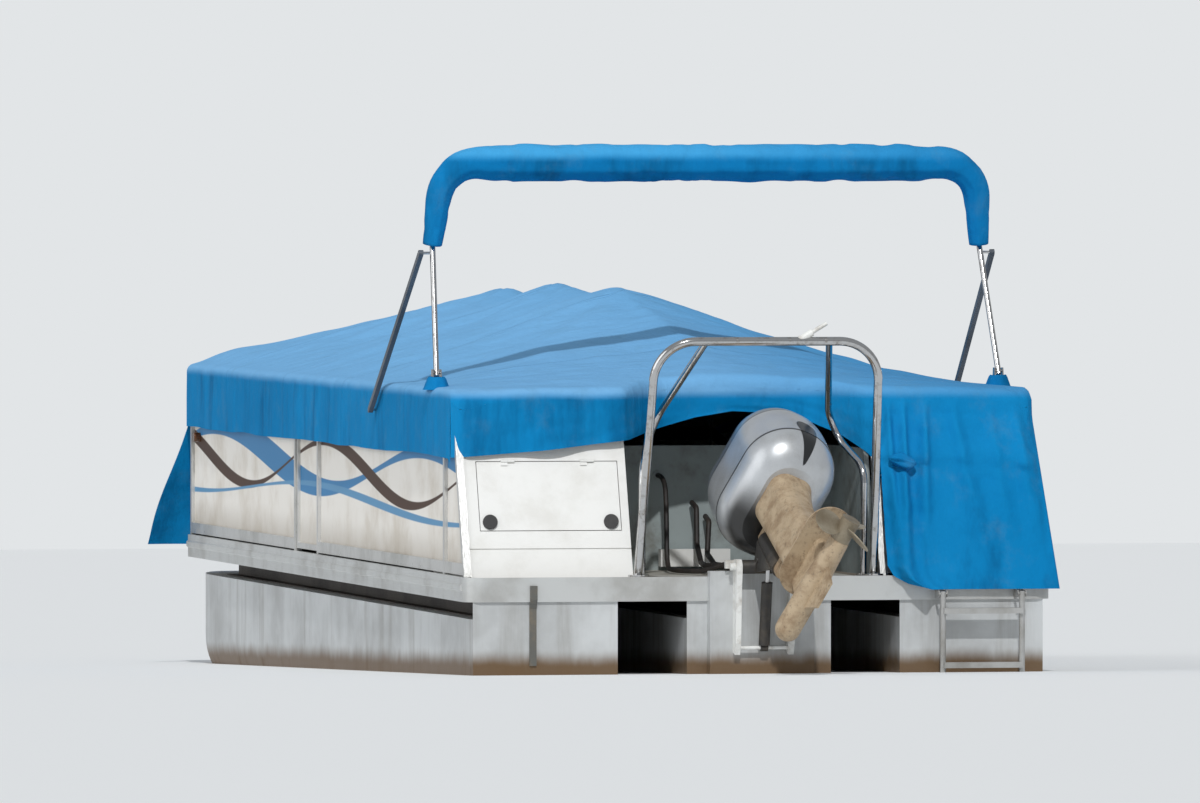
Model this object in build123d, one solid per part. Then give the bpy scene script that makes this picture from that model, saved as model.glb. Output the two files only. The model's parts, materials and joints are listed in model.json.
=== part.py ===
from build123d import *
from math import cos, radians, sin, tan
import os

# A pontoon boat on three logs, laid up under its mooring cover, with the outboard tilted clear.
# Millimetres and degrees. X is the station forward of the deck's aft edge, Y is to port and
# Z is up from the bottom of the logs. A "rise" is a height above the deck.

# Logs: round-bottomed tubes with upright sides
log_radius = 317.5
log_height = 620
log_inset = 355
log_aft = 20
nose_start = 6550
nose_tip = 7180
nose_steps = 8
tip_radius = 120
tip_keel = 300
stern_plate_thickness = 6
eye_thickness = 10
eye_radius = 34
eye_bore = 11
drain_radius = 16
drain_depth = 8
drain_rise = 60

# Frame between the logs and the deck
riser_height = 80
riser_width = 60
riser_wall = 5
riser_offset = 190
riser_front = 6500
channel_height = 76
channel_width = 40
channel_wall = 4
channel_pitch = 406

# Deck and its edge trim
deck_length = 7050
deck_beam = 2590
deck_thickness = 19
corner_radius = 75
trim_wall = 5
trim_lip = 30
rub_depth = 8
rub_width = 36
rub_drop = 26

# Fence: square tube round the deck, with sheet panels
fence_inset = 20
fence_height = 800
tube_side = 32
bottom_rail_height = 50
foot_height = 12
panel_thickness = 3
fence_aft = 120
rake = 20
aft_post = 600
gate_start = 3660
gate_end = 4240
bow_post_offset = 400
fence_return = 560

# Port side gate
gate_clearance = 6
gate_tube = 26
knuckle_radius = 8
knuckle_height = 28
hinge_pin_radius = 4
pin_clearance = 0.3
hinge_heights = (130, 420, 700)

# Moulded locker at the port quarter, with a hatch hung from its top edge
locker_aft = 130
locker_fore = 1000
locker_inner = 530
locker_height = 600
locker_wall = 12
hatch_inner = 565
hatch_edge = 53
hatch_bottom = 200
hatch_top = 500
hatch_gap = 3
groove_rise = 120
groove_size = 6
latch_radius = 32
latch_height = 12
latch_inset = 46
hatch_knuckle_radius = 6
hatch_knuckle_length = 30
hatch_pin_radius = 2.5
hinge_inner_inset = 135
hinge_outer_inset = 140

# Motor well
well_wall = 20
well_height = 550
floor_thickness = 4
floor_half_width = 430

# Tow arch of bent tube over the stern, which leans aft
arch_radius = 19
arch_foot_station = 80
arch_foot_half_width = 520
arch_top_station = -170
arch_top_half_width = 490
arch_height = 1022
arch_bend = 180
brace_radius = 15
brace_station = 140
brace_half_width = 490
brace_knee_low = (130, 490, 470)
brace_knee_high = (430, 395, 640)
brace_top_half_width = 270
brace_bend = 110
foot_thickness = 12
foot_margin = 24
hitch_place = -130
hitch_collar_radius = 16
hitch_collar_length = 75
hitch_radius = 9
hitch_length = 75
hitch_lean = 31

# Transom and outboard. Local outboard sizes are from the tilt tube with the leg upright,
# X forward and Z up.
transom_half_width = 230
transom_aft = 55
transom_bottom = 300
transom_rise = 30
tilt_aft = 115
tilt_rise = 50
tilt_tube_radius = 16
clamp_half_width = 130
clamp_plate = 24
# Columns: distance aft of the transom, height above its top
clamp_profile = ((0, -350), (40, -360), (62, -310), (76, -90), (92, 4), (90, 34), (72, 52), (20, 52),
                 (-37, 18), (-37, 0), (0, 0))
cable_plug_size = (24, 38, 36)
ram_pivot_rise = -300
ram_pivot_aft = 90
swivel_aft = 120
swivel_radius = 40
swivel_top = 8
swivel_bottom = -300
hub_radius = 30
hub_clearance = 4
cheek_inner = 30
cheek_outer = 46
# Columns: X, Z from the tilt tube with the leg upright
cheek_profile = ((22, 10), (0, 28), (-80, 4), (-120, 4), (-120, -290), (-90, -240), (10, -30))
king_pin_radius = 20
running_clearance = 0.4
ram_eye = (-50, -45)
ram_radius = 24
ram_rod_radius = 10
ram_eye_radius = 16
ram_pin_radius = 8
ram_boss_radius = 13
ram_boss_height = 6
ram_side_gap = 0.5
ram_barrel_length = 290
ram_barrel_foot = 14
ram_rod_hidden = 40
stow_tilt = 68
stow_steer = 25
# Columns: height, length, width, middle's distance aft, corner radius
pan_sections = ((70, 400, 230, 250, 105), (130, 540, 370, 268, 170), (215, 600, 420, 275, 200))
cowl_sections = ((215, 604, 424, 275, 200), (400, 600, 420, 276, 198), (520, 540, 370, 268, 172),
                 (600, 400, 250, 250, 115))
leg_sections = ((70, 250, 200, 290, 70), (-160, 220, 160, 275, 60), (-380, 230, 120, 280, 45),
                (-540, 250, 70, 285, 30))
cowl_wall = 14
cowl_crown = 18
cowl_fillet = 26
lug_height = 34
lug_gap_at_swivel = 1
lug_wall = 12
engine_size = (340, 260, 280)
plate_depth = 540
plate_thickness = 10
plate_length = 430
plate_width = 210
plate_aft = 330
torpedo_depth = 715
torpedo_radius = 55
torpedo_tail_radius = 44
torpedo_tip = 40
torpedo_end = -470
# Columns: height, length, width, middle's distance aft
strut_sections = ((-715, 250, 42, 240), (-550, 250, 58, 270))
skeg_depth = 885
skeg_thickness = 12
skeg_root = (-120, -360)
skeg_tip = (-205, -330)
hub_length = 105
prop_hub_radius = 42
blade_count = 3
blade_radius = 148
blade_chord = 130
blade_thickness = 5
blade_pitch = 28
prop_gap = 0.5

# Boarding ladder on the starboard stern
ladder_offset = 30
ladder_width = 350
ladder_rail_radius = 13
ladder_aft = 72
ladder_pivot_rise = -73
ladder_bottom = 60
ladder_pin_radius = 6
rung_heights = (145, 425, 660)
rung_depth = 60
rung_thickness = 24
ladder_rail_top = 10
lug_thickness = 5
lug_round = 14
lug_gap = 2

# Sounder arm on the port stern plate
sounder_offset = 56
sounder_width = 30
sounder_bottom = 420
sounder_thickness = 10

# Side lights at the bow
light_inset = 200
light_rise = 470
light_radius = 22
light_length = 16

# Folded top: bow of tube in its boot, held by flat braces
bow_foot_station = 870
bow_foot_rise = 875
bow_foot_inset = 20
bow_tube_radius = 12.5
bow_top_station = 1120
bow_top_rise = 1430
bow_top_inset = 50
boot_station = 1050
boot_rise = 1787
boot_inset = 85
boot_radius = 84
boot_end_radius = 44
boot_bend = 170
boot_shoulder = 190
stay_thickness = 20
stay_width = 26
stay_gap = 40
stay_foot_station = 2100
stay_foot_rise = 690
stay_foot_gap = 32
stay_top_gap = 55
stay_pin_radius = 6
bracket_plate = 5
bracket_half_length = 30
bracket_head = 14
fork_gap = 3
leg_foot = 16
stud_plate_half = 20

# Mooring cover, one thin sheet sewn from panels
cover_thickness = 6
cover_seat = 0.3
cover_gap = 12
cover_lap = 52
cover_shoulder = 135
cover_aft = 300
hem_rise = 515
# Columns: station, then heights of the ridge and of the shoulders above the cover's edge
ridge_stations = ((600, 52, 8), (3050, 414, 52), (3780, 358, 46), (4500, 408, 55), (5150, 345, 50),
                  (5800, 384, 64), (6600, 300, 85))
ridge_aft = (8, 2)
ridge_bow = (150, 60)
notch_gap = 34
notch_station = 600
# Columns: half width, hem's rise across the stern
stern_hem = ((560, 600), (330, 700), (-330, 700), (-560, 600))
bow_flap_station = 7350
bow_flap_flare = 143
bow_flap_rise = -50
stern_flap_station = -36
stern_flap_rise = -40
stern_flap_flare = 43
stern_flap_top = 780
slit_half_length = 40
slit_inset = 34
stud_slit = 26
# Columns: station, rise of the starboard gusset below the stern flap
gusset_profile = ((302, 780), (302, 380), (90, 10), (10, 10))

# Control cable from the bulkhead to the outboard's clamp
cable_radius = 11
cable_route = ((968, 250, 420), (810, 250, 420), (720, 262, 250), (650, 275, 24), (470, 288, 20),
               (300, 262, 20), (150, 205, 24), (30, 150, 60), (-60, 150, 60))
gland_radius = 20
gland_length = 12

# Heights and faces worked out from the sizes above
half_beam = deck_beam / 2
log_spacing = half_beam - log_inset
riser_top = log_height + riser_height
channel_top = riser_top + channel_height
deck_top = channel_top + deck_thickness
trim_bottom = riser_top - trim_wall
trim_top = deck_top + trim_wall
fence_face = half_beam - fence_inset
fence_inner = fence_face - tube_side
fence_bow = deck_length - fence_inset
light_station = deck_length - light_inset
panel_face = fence_face - tube_side / 2
cover_edge = fence_height + cover_seat + cover_thickness
cover_half_width = fence_face + cover_gap
cover_rail_lap = cover_half_width - cover_lap
cover_bow = fence_bow + cover_gap
notch_half_width = arch_foot_half_width + notch_gap
bow_foot_half_width = fence_face - bow_foot_inset
bow_top_half_width = fence_face - bow_top_inset
boot_half_width = fence_face - boot_inset
stay_foot_half_width = cover_half_width + stay_foot_gap
stay_top_half_width = bow_top_half_width + stay_top_gap
sounder_place = log_spacing + sounder_offset
ladder_middle = -log_spacing - ladder_offset
tilt_height = deck_top + tilt_rise
slope = tan(radians(rake))
rake_width = tube_side / cos(radians(rake))
gate_axis_x = gate_start + tube_side / 2 + gate_clearance / 2
gate_axis_y = fence_inner - knuckle_radius
hatch_outer = fence_inner - hatch_edge
hatch_hinges = (hatch_inner + hinge_inner_inset, hatch_outer - hinge_outer_inset)
hatch_axis_x = locker_aft + hatch_top * slope - hatch_knuckle_radius
hatch_axis_z = deck_top + hatch_top
ladder_pivot_z = deck_top + ladder_pivot_rise


def block(x_range, y_range, z_range):
    """A box between two values on each axis."""
    ranges = (x_range, y_range, z_range)
    size = [high - low for low, high in ranges]
    middle = [(low + high) / 2 for low, high in ranges]
    return Pos(*middle) * Box(*size)


def side_plate(outline, y_range):
    """A plate with the given X and Z outline, between two Y values."""
    low, high = y_range
    face = Plane.XZ * make_face(Polyline(*outline, close=True))
    return Pos(0, high, 0) * extrude(face, high - low)


def cross_plate(outline, x_range):
    """A plate with the given Y and Z outline, between two X values."""
    low, high = x_range
    face = Plane.YZ * make_face(Polyline(*outline, close=True))
    return Pos(low, 0, 0) * extrude(face, high - low)


def rod(start, end, radius):
    """A round bar between two points."""
    start, end = Vector(start), Vector(end)
    along = Plane(origin=start, z_dir=end - start)
    return along * Cylinder(radius, (end - start).length, align=(Align.CENTER, Align.CENTER, Align.MIN))


def tapered_rod(start, end, start_radius, end_radius):
    """A round bar between two points that gets thinner or thicker."""
    along = Plane(origin=start, z_dir=end - start)
    return along * Cone(start_radius, end_radius, (end - start).length,
                        align=(Align.CENTER, Align.CENTER, Align.MIN))


def cross_rod(x, z, radius, y_range):
    """A round bar across the boat."""
    low, high = y_range
    return rod((x, low, z), (x, high, z), radius)


def bent_tube(points, bends, radius):
    """A round tube along straight runs joined by arcs."""
    path = FilletPolyline(*points, radius=bends)
    section = Plane(origin=path @ 0, z_dir=path % 0) * Circle(radius)
    return sweep(section, path=path)


def both_sides(shape):
    """A port piece with its mirrored twin."""
    return [shape, mirror(shape, about=Plane.XZ)]


def rises(points):
    """X, Y, rise points as X, Y, Z points."""
    return [(x, y, deck_top + rise) for x, y, rise in points]


def raked(aft, fore, low, high, y_range):
    """A block whose aft face leans forward with the stern's rake. Heights are rises."""
    low_aft = aft + low * slope
    high_aft = aft + high * slope
    outline = ((low_aft, deck_top + low), (fore, deck_top + low), (fore, deck_top + high),
               (high_aft, deck_top + high))
    return side_plate(outline, y_range)


def raked_slab(aft, thickness, low, high, y_range):
    """A slab of even thickness along X that leans with the stern's rake."""
    low_aft = aft + low * slope
    high_aft = aft + high * slope
    outline = ((low_aft, deck_top + low), (low_aft + thickness, deck_top + low),
               (high_aft + thickness, deck_top + high), (high_aft, deck_top + high))
    return side_plate(outline, y_range)


# Hull


def log_outline(station, radius, keel):
    """One section of a log: round below, upright sides and a flat top."""
    middle = keel + radius
    sides = Polyline((radius, middle), (radius, log_height), (-radius, log_height), (-radius, middle))
    bottom = ThreePointArc((-radius, middle), (0, keel), (radius, middle))
    return Plane.YZ.offset(station) * make_face(sides + bottom)


def log():
    """A log with its stern end plain and its nose swept up to a blunt tip."""
    body = extrude(log_outline(log_aft, log_radius, 0), nose_start - log_aft)
    sections = []
    for step in range(nose_steps + 1):
        share = sin(radians(90 * step / nose_steps))
        rise = 1 - cos(radians(90 * step / nose_steps))
        station = nose_start + (nose_tip - nose_start) * share
        radius = log_radius - (log_radius - tip_radius) * rise
        sections.append(log_outline(station, radius, tip_keel * rise))
    return body + loft(sections, ruled=True)


def stern_plate():
    """A log's end plate, carried up to the deck trim, with a drain plug."""
    outline = log_outline(0, log_radius, 0)
    plate = Pos(log_aft - stern_plate_thickness, 0, 0) * extrude(outline, stern_plate_thickness)
    aft = (log_aft - stern_plate_thickness, log_aft)
    plate += block(aft, (-log_radius, log_radius), (log_height, trim_bottom))
    plug_start = log_aft - stern_plate_thickness - drain_depth
    plug = rod((plug_start, 0, drain_rise), (log_aft, 0, drain_rise), drain_radius)
    return plate + plug


def bow_eye():
    """The towing eye on a log's tip."""
    middle = (tip_keel + log_height) / 2
    reach = nose_tip + eye_radius
    eye = cross_rod(reach, middle, eye_radius, (-eye_thickness / 2, eye_thickness / 2))
    root = block((nose_tip, reach), (-eye_thickness / 2, eye_thickness / 2),
                 (middle - eye_radius, middle + eye_radius))
    hole = cross_rod(reach, middle, eye_bore, (-eye_thickness, eye_thickness))
    return eye + root - hole


def channel_outline(height, width, wall):
    """A C section, open along its first axis."""
    return ((0, 0), (width, 0), (width, wall), (wall, wall), (wall, height - wall), (width, height - wall),
            (width, height), (0, height))


def risers():
    """Two rails on each log that carry the deck's cross channels."""
    rails = []
    outline = [(y, log_height + z) for y, z in channel_outline(riser_height, riser_width, riser_wall)]
    rail = cross_plate(outline, (2 * trim_lip, riser_front))
    for middle in (-log_spacing, 0, log_spacing):
        rails.append(Pos(0, middle + riser_offset, 0) * rail)
        rails.append(Pos(0, middle - riser_offset - riser_width, 0) * rail)
    return rails


def cross_channels():
    """Channels across the boat, under the deck."""
    outline = [(x, riser_top + z) for x, z in channel_outline(channel_height, channel_width, channel_wall)]
    half_length = half_beam - trim_wall
    channel = side_plate(outline, (-half_length, half_length))
    first = corner_radius + trim_wall
    last = deck_length - first - channel_width
    count = int((last - first) // channel_pitch) + 1
    return [Pos(first + step * channel_pitch, 0, 0) * channel for step in range(count)]


def deck():
    """The deck sheet inside its trim."""
    length = deck_length - 2 * trim_wall
    beam = deck_beam - 2 * trim_wall
    outline = RectangleRounded(length, beam, corner_radius - trim_wall)
    return Pos(deck_length / 2, 0, channel_top) * extrude(outline, deck_thickness)


def trim_outline(with_rub):
    """The trim's C section, with its outer face at zero, and its rub rail."""
    points = [(0, trim_bottom)]
    if with_rub:
        rub_low = trim_top - rub_drop - rub_width
        rub_high = trim_top - rub_drop
        points += [(0, rub_low), (rub_depth, rub_low + rub_depth), (rub_depth, rub_high - rub_depth),
                   (0, rub_high)]
    points += [(0, trim_top), (-trim_lip, trim_top), (-trim_lip, deck_top), (-trim_wall, deck_top),
               (-trim_wall, riser_top), (-trim_lip, riser_top), (-trim_lip, trim_bottom)]
    return make_face(Polyline(*points, close=True))


def side_trims():
    """The straight trims along both sides."""
    plane = Plane(origin=(corner_radius, half_beam, 0), x_dir=(0, 1, 0), z_dir=(1, 0, 0))
    run = extrude(plane * trim_outline(True), deck_length - 2 * corner_radius)
    return both_sides(run)


def end_trims():
    """The trims across the stern and the bow, each with its two corners."""
    half_run = half_beam - corner_radius
    stern_plane = Plane(origin=(0, -half_run, 0), x_dir=(-1, 0, 0), z_dir=(0, 1, 0))
    stern = extrude(stern_plane * trim_outline(False), 2 * half_run)
    corner_plane = Plane(origin=(corner_radius, half_beam, 0), x_dir=(0, 1, 0), z_dir=(1, 0, 0))
    turn = Axis((corner_radius, half_run, 0), (0, 0, 1))
    for corner in both_sides(revolve(corner_plane * trim_outline(False), turn, 90)):
        stern += corner
    bow_plane = Plane(origin=(deck_length, half_run, 0), x_dir=(1, 0, 0), z_dir=(0, -1, 0))
    bow = extrude(bow_plane * trim_outline(True), 2 * half_run)
    turn = Axis((deck_length - corner_radius, half_run, 0), (0, 0, 1))
    for corner in both_sides(revolve(bow_plane * trim_outline(True), turn, 90)):
        bow += corner
    return [stern, bow]


# Fence


def post(station):
    """An upright of the port fence on its foot."""
    half = tube_side / 2
    top = deck_top + fence_height
    return block((station - half, station + half), (fence_inner, fence_face), (trim_top, top))


def rails(start, end):
    """The bottom and top rails of a stretch of the port fence."""
    across = (fence_inner, fence_face)
    low = block((start, end), across, (deck_top + foot_height, deck_top + foot_height + bottom_rail_height))
    high = block((start, end), across, (deck_top + fence_height - tube_side, deck_top + fence_height))
    return low + high


def stern_section(front):
    """The fence from its raked aft end to the given station."""
    across = (fence_inner, fence_face)
    rail_top = foot_height + bottom_rail_height
    section = raked_slab(fence_aft, rake_width, trim_wall, fence_height, across)
    section += raked(fence_aft, front, foot_height, rail_top, across)
    section += raked(fence_aft, front, fence_height - tube_side, fence_height, across)
    return section + post(aft_post)


def port_fence():
    """The port fence in two lengths, aft and forward of the gate."""
    half = tube_side / 2
    aft = stern_section(gate_start) + post(gate_start)
    fore = rails(gate_end, fence_bow - tube_side) + post(gate_end) + post(fence_bow - half)
    hinges = None
    for height in hinge_heights:
        knuckle = gate_knuckle(height, False)
        hinges = knuckle if hinges is None else hinges + knuckle
    return [aft + hinges, fore]


def starboard_fence():
    """The starboard fence, in one length."""
    half = tube_side / 2
    fence = stern_section(fence_bow - tube_side) + post(gate_start) + post(fence_bow - half)
    return mirror(fence, about=Plane.XZ)


def fence_bay_heights():
    """The rises between which a panel stands."""
    return foot_height + bottom_rail_height, fence_height - tube_side


def side_panels(bays):
    """The panels of the port fence: a raked one and one in each bay."""
    low, high = fence_bay_heights()
    across = (panel_face - panel_thickness, panel_face)
    panels = [raked(fence_aft + rake_width, aft_post - tube_side / 2, low, high, across)]
    for start, end in bays:
        reach = (start + tube_side / 2, end - tube_side / 2)
        panels.append(block(reach, across, (deck_top + low, deck_top + high)))
    return panels


def port_panels():
    """Panels either side of the gate."""
    bow_post = fence_bow - tube_side / 2
    return side_panels(((aft_post, gate_start), (gate_end, bow_post)))


def starboard_panels():
    """Panels along the starboard fence."""
    bow_post = fence_bow - tube_side / 2
    panels = side_panels(((aft_post, gate_start), (gate_start, bow_post)))
    return [mirror(panel, about=Plane.XZ) for panel in panels]


def bow_fence():
    """The fence across the bow, between the corner posts."""
    along = (fence_bow - tube_side, fence_bow)
    across = (-fence_inner, fence_inner)
    low, high = fence_bay_heights()
    fence = block(along, across, (deck_top + foot_height, deck_top + low))
    fence += block(along, across, (deck_top + high, deck_top + fence_height))
    for middle in (-bow_post_offset, bow_post_offset):
        reach = (middle - tube_side / 2, middle + tube_side / 2)
        fence += block(along, reach, (trim_top, deck_top + fence_height))
    return fence


def bow_panels():
    """The three panels across the bow."""
    low, high = fence_bay_heights()
    face = fence_bow - tube_side / 2
    half = tube_side / 2
    bays = ((-fence_inner, -bow_post_offset - half), (-bow_post_offset + half, bow_post_offset - half),
            (bow_post_offset + half, fence_inner))
    return [block((face - panel_thickness, face), bay, (deck_top + low, deck_top + high)) for bay in bays]


def stern_fence():
    """The raked fence across the starboard quarter."""
    low, high = fence_bay_heights()
    across = (-fence_inner, -fence_return)
    fence = raked_slab(fence_aft, rake_width, foot_height, low, across)
    fence += raked_slab(fence_aft, rake_width, high, fence_height, across)
    post_reach = (-fence_return - tube_side, -fence_return)
    return fence + raked_slab(fence_aft, rake_width, 0, fence_height, post_reach)


def stern_panel():
    """The sheet in the starboard quarter's fence."""
    low, high = fence_bay_heights()
    across = (-fence_inner, -fence_return - tube_side)
    return raked_slab(fence_aft + tube_side / 2, panel_thickness, low, high, across)


# Gate


def gate_knuckle(height, moves):
    """Half of one gate hinge: the post's knuckle with its pin, or the gate's above it."""
    base = deck_top + height + (knuckle_height + pin_clearance if moves else 0)
    low = (gate_axis_x, gate_axis_y, base)
    high = (gate_axis_x, gate_axis_y, base + knuckle_height)
    knuckle = rod(low, high, knuckle_radius)
    leaf_end = gate_axis_x + 3 * knuckle_radius if moves else gate_axis_x - 3 * knuckle_radius
    leaf_reach = (min(gate_axis_x, leaf_end), max(gate_axis_x, leaf_end))
    leaf_across = (gate_axis_y + knuckle_radius / 2, fence_inner)
    knuckle += block(leaf_reach, leaf_across, (base, base + knuckle_height))
    if moves:
        return knuckle - rod(low, high, hinge_pin_radius + pin_clearance)
    pin_top = (gate_axis_x, gate_axis_y, base + 2 * knuckle_height)
    return knuckle + rod(low, pin_top, hinge_pin_radius)


def gate_reach():
    """The stations between which the gate hangs."""
    half = tube_side / 2
    return gate_start + half + gate_clearance, gate_end - half - gate_clearance


def gate_frame():
    """The gate's tube frame with its hinge knuckles."""
    start, end = gate_reach()
    across = (fence_inner, fence_inner + gate_tube)
    low, high = deck_top + foot_height + gate_clearance, deck_top + fence_height - gate_clearance
    frame = block((start, end), across, (low, low + gate_tube))
    frame += block((start, end), across, (high - gate_tube, high))
    frame += block((start, start + gate_tube), across, (low, high))
    frame += block((end - gate_tube, end), across, (low, high))
    for height in hinge_heights:
        frame += gate_knuckle(height, True)
    return frame


def gate_panel():
    """The sheet in the gate."""
    start, end = gate_reach()
    low, high = deck_top + foot_height + gate_clearance, deck_top + fence_height - gate_clearance
    face = fence_inner + gate_tube / 2
    return block((start + gate_tube, end - gate_tube), (face - panel_thickness, face),
                 (low + gate_tube, high - gate_tube))


# Locker and motor well


def locker():
    """The hollow moulded locker with its hatch opening and the fixed half of the hinges."""
    across = (locker_inner, fence_inner)
    body = raked(locker_aft, locker_fore, 0, locker_height, across)
    inside_across = (locker_inner + locker_wall, fence_inner - locker_wall)
    inside = raked(locker_aft + locker_wall, locker_fore - locker_wall, locker_wall,
                   locker_height - locker_wall, inside_across)
    opening = raked_slab(locker_aft - locker_wall, 3 * locker_wall, hatch_bottom, hatch_top,
                         (hatch_inner, hatch_outer))
    groove_top = groove_rise + groove_size
    groove = raked_slab(locker_aft - groove_size, 2 * groove_size, groove_rise, groove_top, across)
    body = body - inside - opening - groove
    for middle in hatch_hinges:
        start = middle - hatch_knuckle_length
        end = middle + hatch_knuckle_length
        body += cross_rod(hatch_axis_x, hatch_axis_z, hatch_knuckle_radius, (start, middle))
        body += raked_slab(locker_aft - hatch_knuckle_radius, 2 * hatch_knuckle_radius, hatch_top,
                           hatch_top + hatch_knuckle_radius, (start, middle))
        body += cross_rod(hatch_axis_x, hatch_axis_z, hatch_pin_radius, (start, end))
    return body


def hatch():
    """The locker's raked hatch with the moving half of the hinges."""
    across = (hatch_inner + hatch_gap, hatch_outer - hatch_gap)
    lid = raked_slab(locker_aft, locker_wall, hatch_bottom + hatch_gap, hatch_top - hatch_gap, across)
    bore = hatch_pin_radius + pin_clearance
    for middle in hatch_hinges:
        start = middle - hatch_knuckle_length - hatch_gap
        end = middle + hatch_knuckle_length + hatch_gap
        knuckle_reach = (middle + pin_clearance, middle + hatch_knuckle_length)
        lid -= cross_rod(hatch_axis_x, hatch_axis_z, hatch_knuckle_radius + hatch_gap, (start, end))
        lid += cross_rod(hatch_axis_x, hatch_axis_z, hatch_knuckle_radius, knuckle_reach)
        lid += raked_slab(locker_aft - hatch_knuckle_radius, 2 * hatch_knuckle_radius,
                          hatch_top - 3 * hatch_knuckle_radius, hatch_top - hatch_gap, knuckle_reach)
        lid -= cross_rod(hatch_axis_x, hatch_axis_z, bore, (middle - hatch_gap, end))
    return lid


def hatch_latches():
    """Two round latches near the hatch's bottom corners."""
    rise = hatch_bottom + hatch_gap + latch_radius + hatch_gap
    latches = []
    for side in (hatch_inner + latch_inset, hatch_outer - latch_inset):
        face = Plane(origin=(locker_aft + rise * slope, side, deck_top + rise),
                     x_dir=(0, 1, 0), z_dir=(-cos(radians(rake)), 0, sin(radians(rake))))
        latch = Cylinder(latch_radius, latch_height, align=(Align.CENTER, Align.CENTER, Align.MIN))
        latches.append(face * latch)
    return latches


def well_walls():
    """The bulkhead ahead of the motor and the well's starboard side."""
    bulkhead = block((locker_fore - well_wall, locker_fore), (-locker_inner, locker_inner),
                     (deck_top, deck_top + well_height))
    side = raked(locker_aft, locker_fore, 0, well_height, (-locker_inner - well_wall, -locker_inner))
    gland_place = cable_route[0]
    gland_height = deck_top + gland_place[2]
    gland = rod((locker_fore - well_wall - gland_length, gland_place[1], gland_height),
                (locker_fore - well_wall, gland_place[1], gland_height), gland_radius)
    return bulkhead + side + gland


def well_floor():
    """The light plate on the deck inside the well."""
    return block((trim_lip, locker_fore - well_wall), (-floor_half_width, floor_half_width),
                 (deck_top, deck_top + floor_thickness))


# Tow arch


def foot(x, y, radius):
    """A round foot under a tube."""
    return rod((x, y, deck_top), (x, y, deck_top + foot_thickness), radius + foot_margin)


def tow_arch():
    """The arch over the motor with a brace forward of each leg."""
    low, high = foot_thickness / 2, arch_height
    path = rises(((arch_foot_station, arch_foot_half_width, low),
                  (arch_top_station, arch_top_half_width, high),
                  (arch_top_station, -arch_top_half_width, high),
                  (arch_foot_station, -arch_foot_half_width, low)))
    arch = bent_tube(path, arch_bend, arch_radius)
    brace_foot = (brace_station, brace_half_width, low)
    brace_top = (arch_top_station, brace_top_half_width, arch_height)
    brace_points = rises((brace_foot, brace_knee_low, brace_knee_high, brace_top))
    brace = bent_tube(brace_points, brace_bend, brace_radius)
    brace += foot(brace_station, brace_half_width, brace_radius / 2)
    brace += foot(arch_foot_station, arch_foot_half_width, arch_radius)
    for side in both_sides(brace):
        arch += side
    return arch


def tow_hitch():
    """The slanted hitch pin in its collar, on top of the arch."""
    start = Vector(arch_top_station, hitch_place, deck_top + arch_height)
    lean = radians(hitch_lean)
    along = Vector(0, -cos(lean), sin(lean))
    shoulder = start + along * hitch_collar_length
    collar = rod(start, shoulder, hitch_collar_radius)
    reach = (hitch_place - 2 * hitch_collar_length, hitch_place + 2 * hitch_collar_length)
    collar -= cross_rod(arch_top_station, start.Z, arch_radius, reach)
    return collar + rod(shoulder, shoulder + along * hitch_length, hitch_radius)


# Outboard


def stow(shape):
    """Turns and tilts an outboard piece from the upright place to the stowed one."""
    turned = Pos(-swivel_aft, 0, 0) * Rot(0, 0, stow_steer) * Pos(swivel_aft, 0, 0)
    return tilt_up(turned * shape)


def tilt_up(shape):
    """Tilts a piece about the tilt tube."""
    return Pos(-tilt_aft, 0, tilt_height) * Rot(0, stow_tilt, 0) * shape


def transom():
    """The transom plate between the centre log's stern plate and the motor."""
    face = log_aft - stern_plate_thickness
    outline = ((-transom_aft, transom_bottom), (face, transom_bottom), (face, trim_bottom), (0, trim_bottom),
               (0, deck_top + transom_rise), (-transom_aft, deck_top + transom_rise))
    return side_plate(outline, (-transom_half_width, transom_half_width))


def clamp_bracket():
    """The two clamp plates hooked over the transom, the tilt tube and the ram's lower pin."""
    top = deck_top + transom_rise
    outline = [(-transom_aft - aft, top + up) for aft, up in clamp_profile]
    plate = side_plate(outline, (clamp_half_width - clamp_plate, clamp_half_width))
    reach = clamp_half_width + clamp_plate
    bracket = cross_rod(-tilt_aft, tilt_height, tilt_tube_radius, (-reach, reach))
    bracket += cross_rod(-ram_pivot_aft, deck_top + ram_pivot_rise, ram_pin_radius,
                         (-clamp_half_width, clamp_half_width))
    for side in both_sides(plate):
        bracket += side
    cable_end, _, cable_rise = cable_route[-1]
    length, width, height = cable_plug_size
    plug_low = deck_top + cable_rise - height / 2
    return bracket + block((cable_end - length, cable_end), (clamp_half_width, clamp_half_width + width),
                           (plug_low, plug_low + height))


def swivel_bracket():
    """The bracket that tilts: a hub on the tilt tube, two cheeks and the upright swivel tube."""
    hub_reach = clamp_half_width - clamp_plate - hub_clearance
    bracket = cross_rod(0, 0, hub_radius, (-hub_reach, hub_reach))
    for side in both_sides(side_plate(cheek_profile, (cheek_inner, cheek_outer))):
        bracket += side
    bracket += rod((-swivel_aft, 0, swivel_bottom), (-swivel_aft, 0, swivel_top), swivel_radius)
    boss = cross_rod(ram_eye[0], ram_eye[1], ram_boss_radius, (cheek_inner, cheek_outer + ram_boss_height))
    for side in both_sides(boss):
        bracket += side
    bracket -= cross_rod(0, 0, tilt_tube_radius + running_clearance, (-hub_reach, hub_reach))
    bracket -= rod((-swivel_aft, 0, swivel_bottom), (-swivel_aft, 0, swivel_top),
                   king_pin_radius + running_clearance)
    return tilt_up(bracket)


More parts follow.
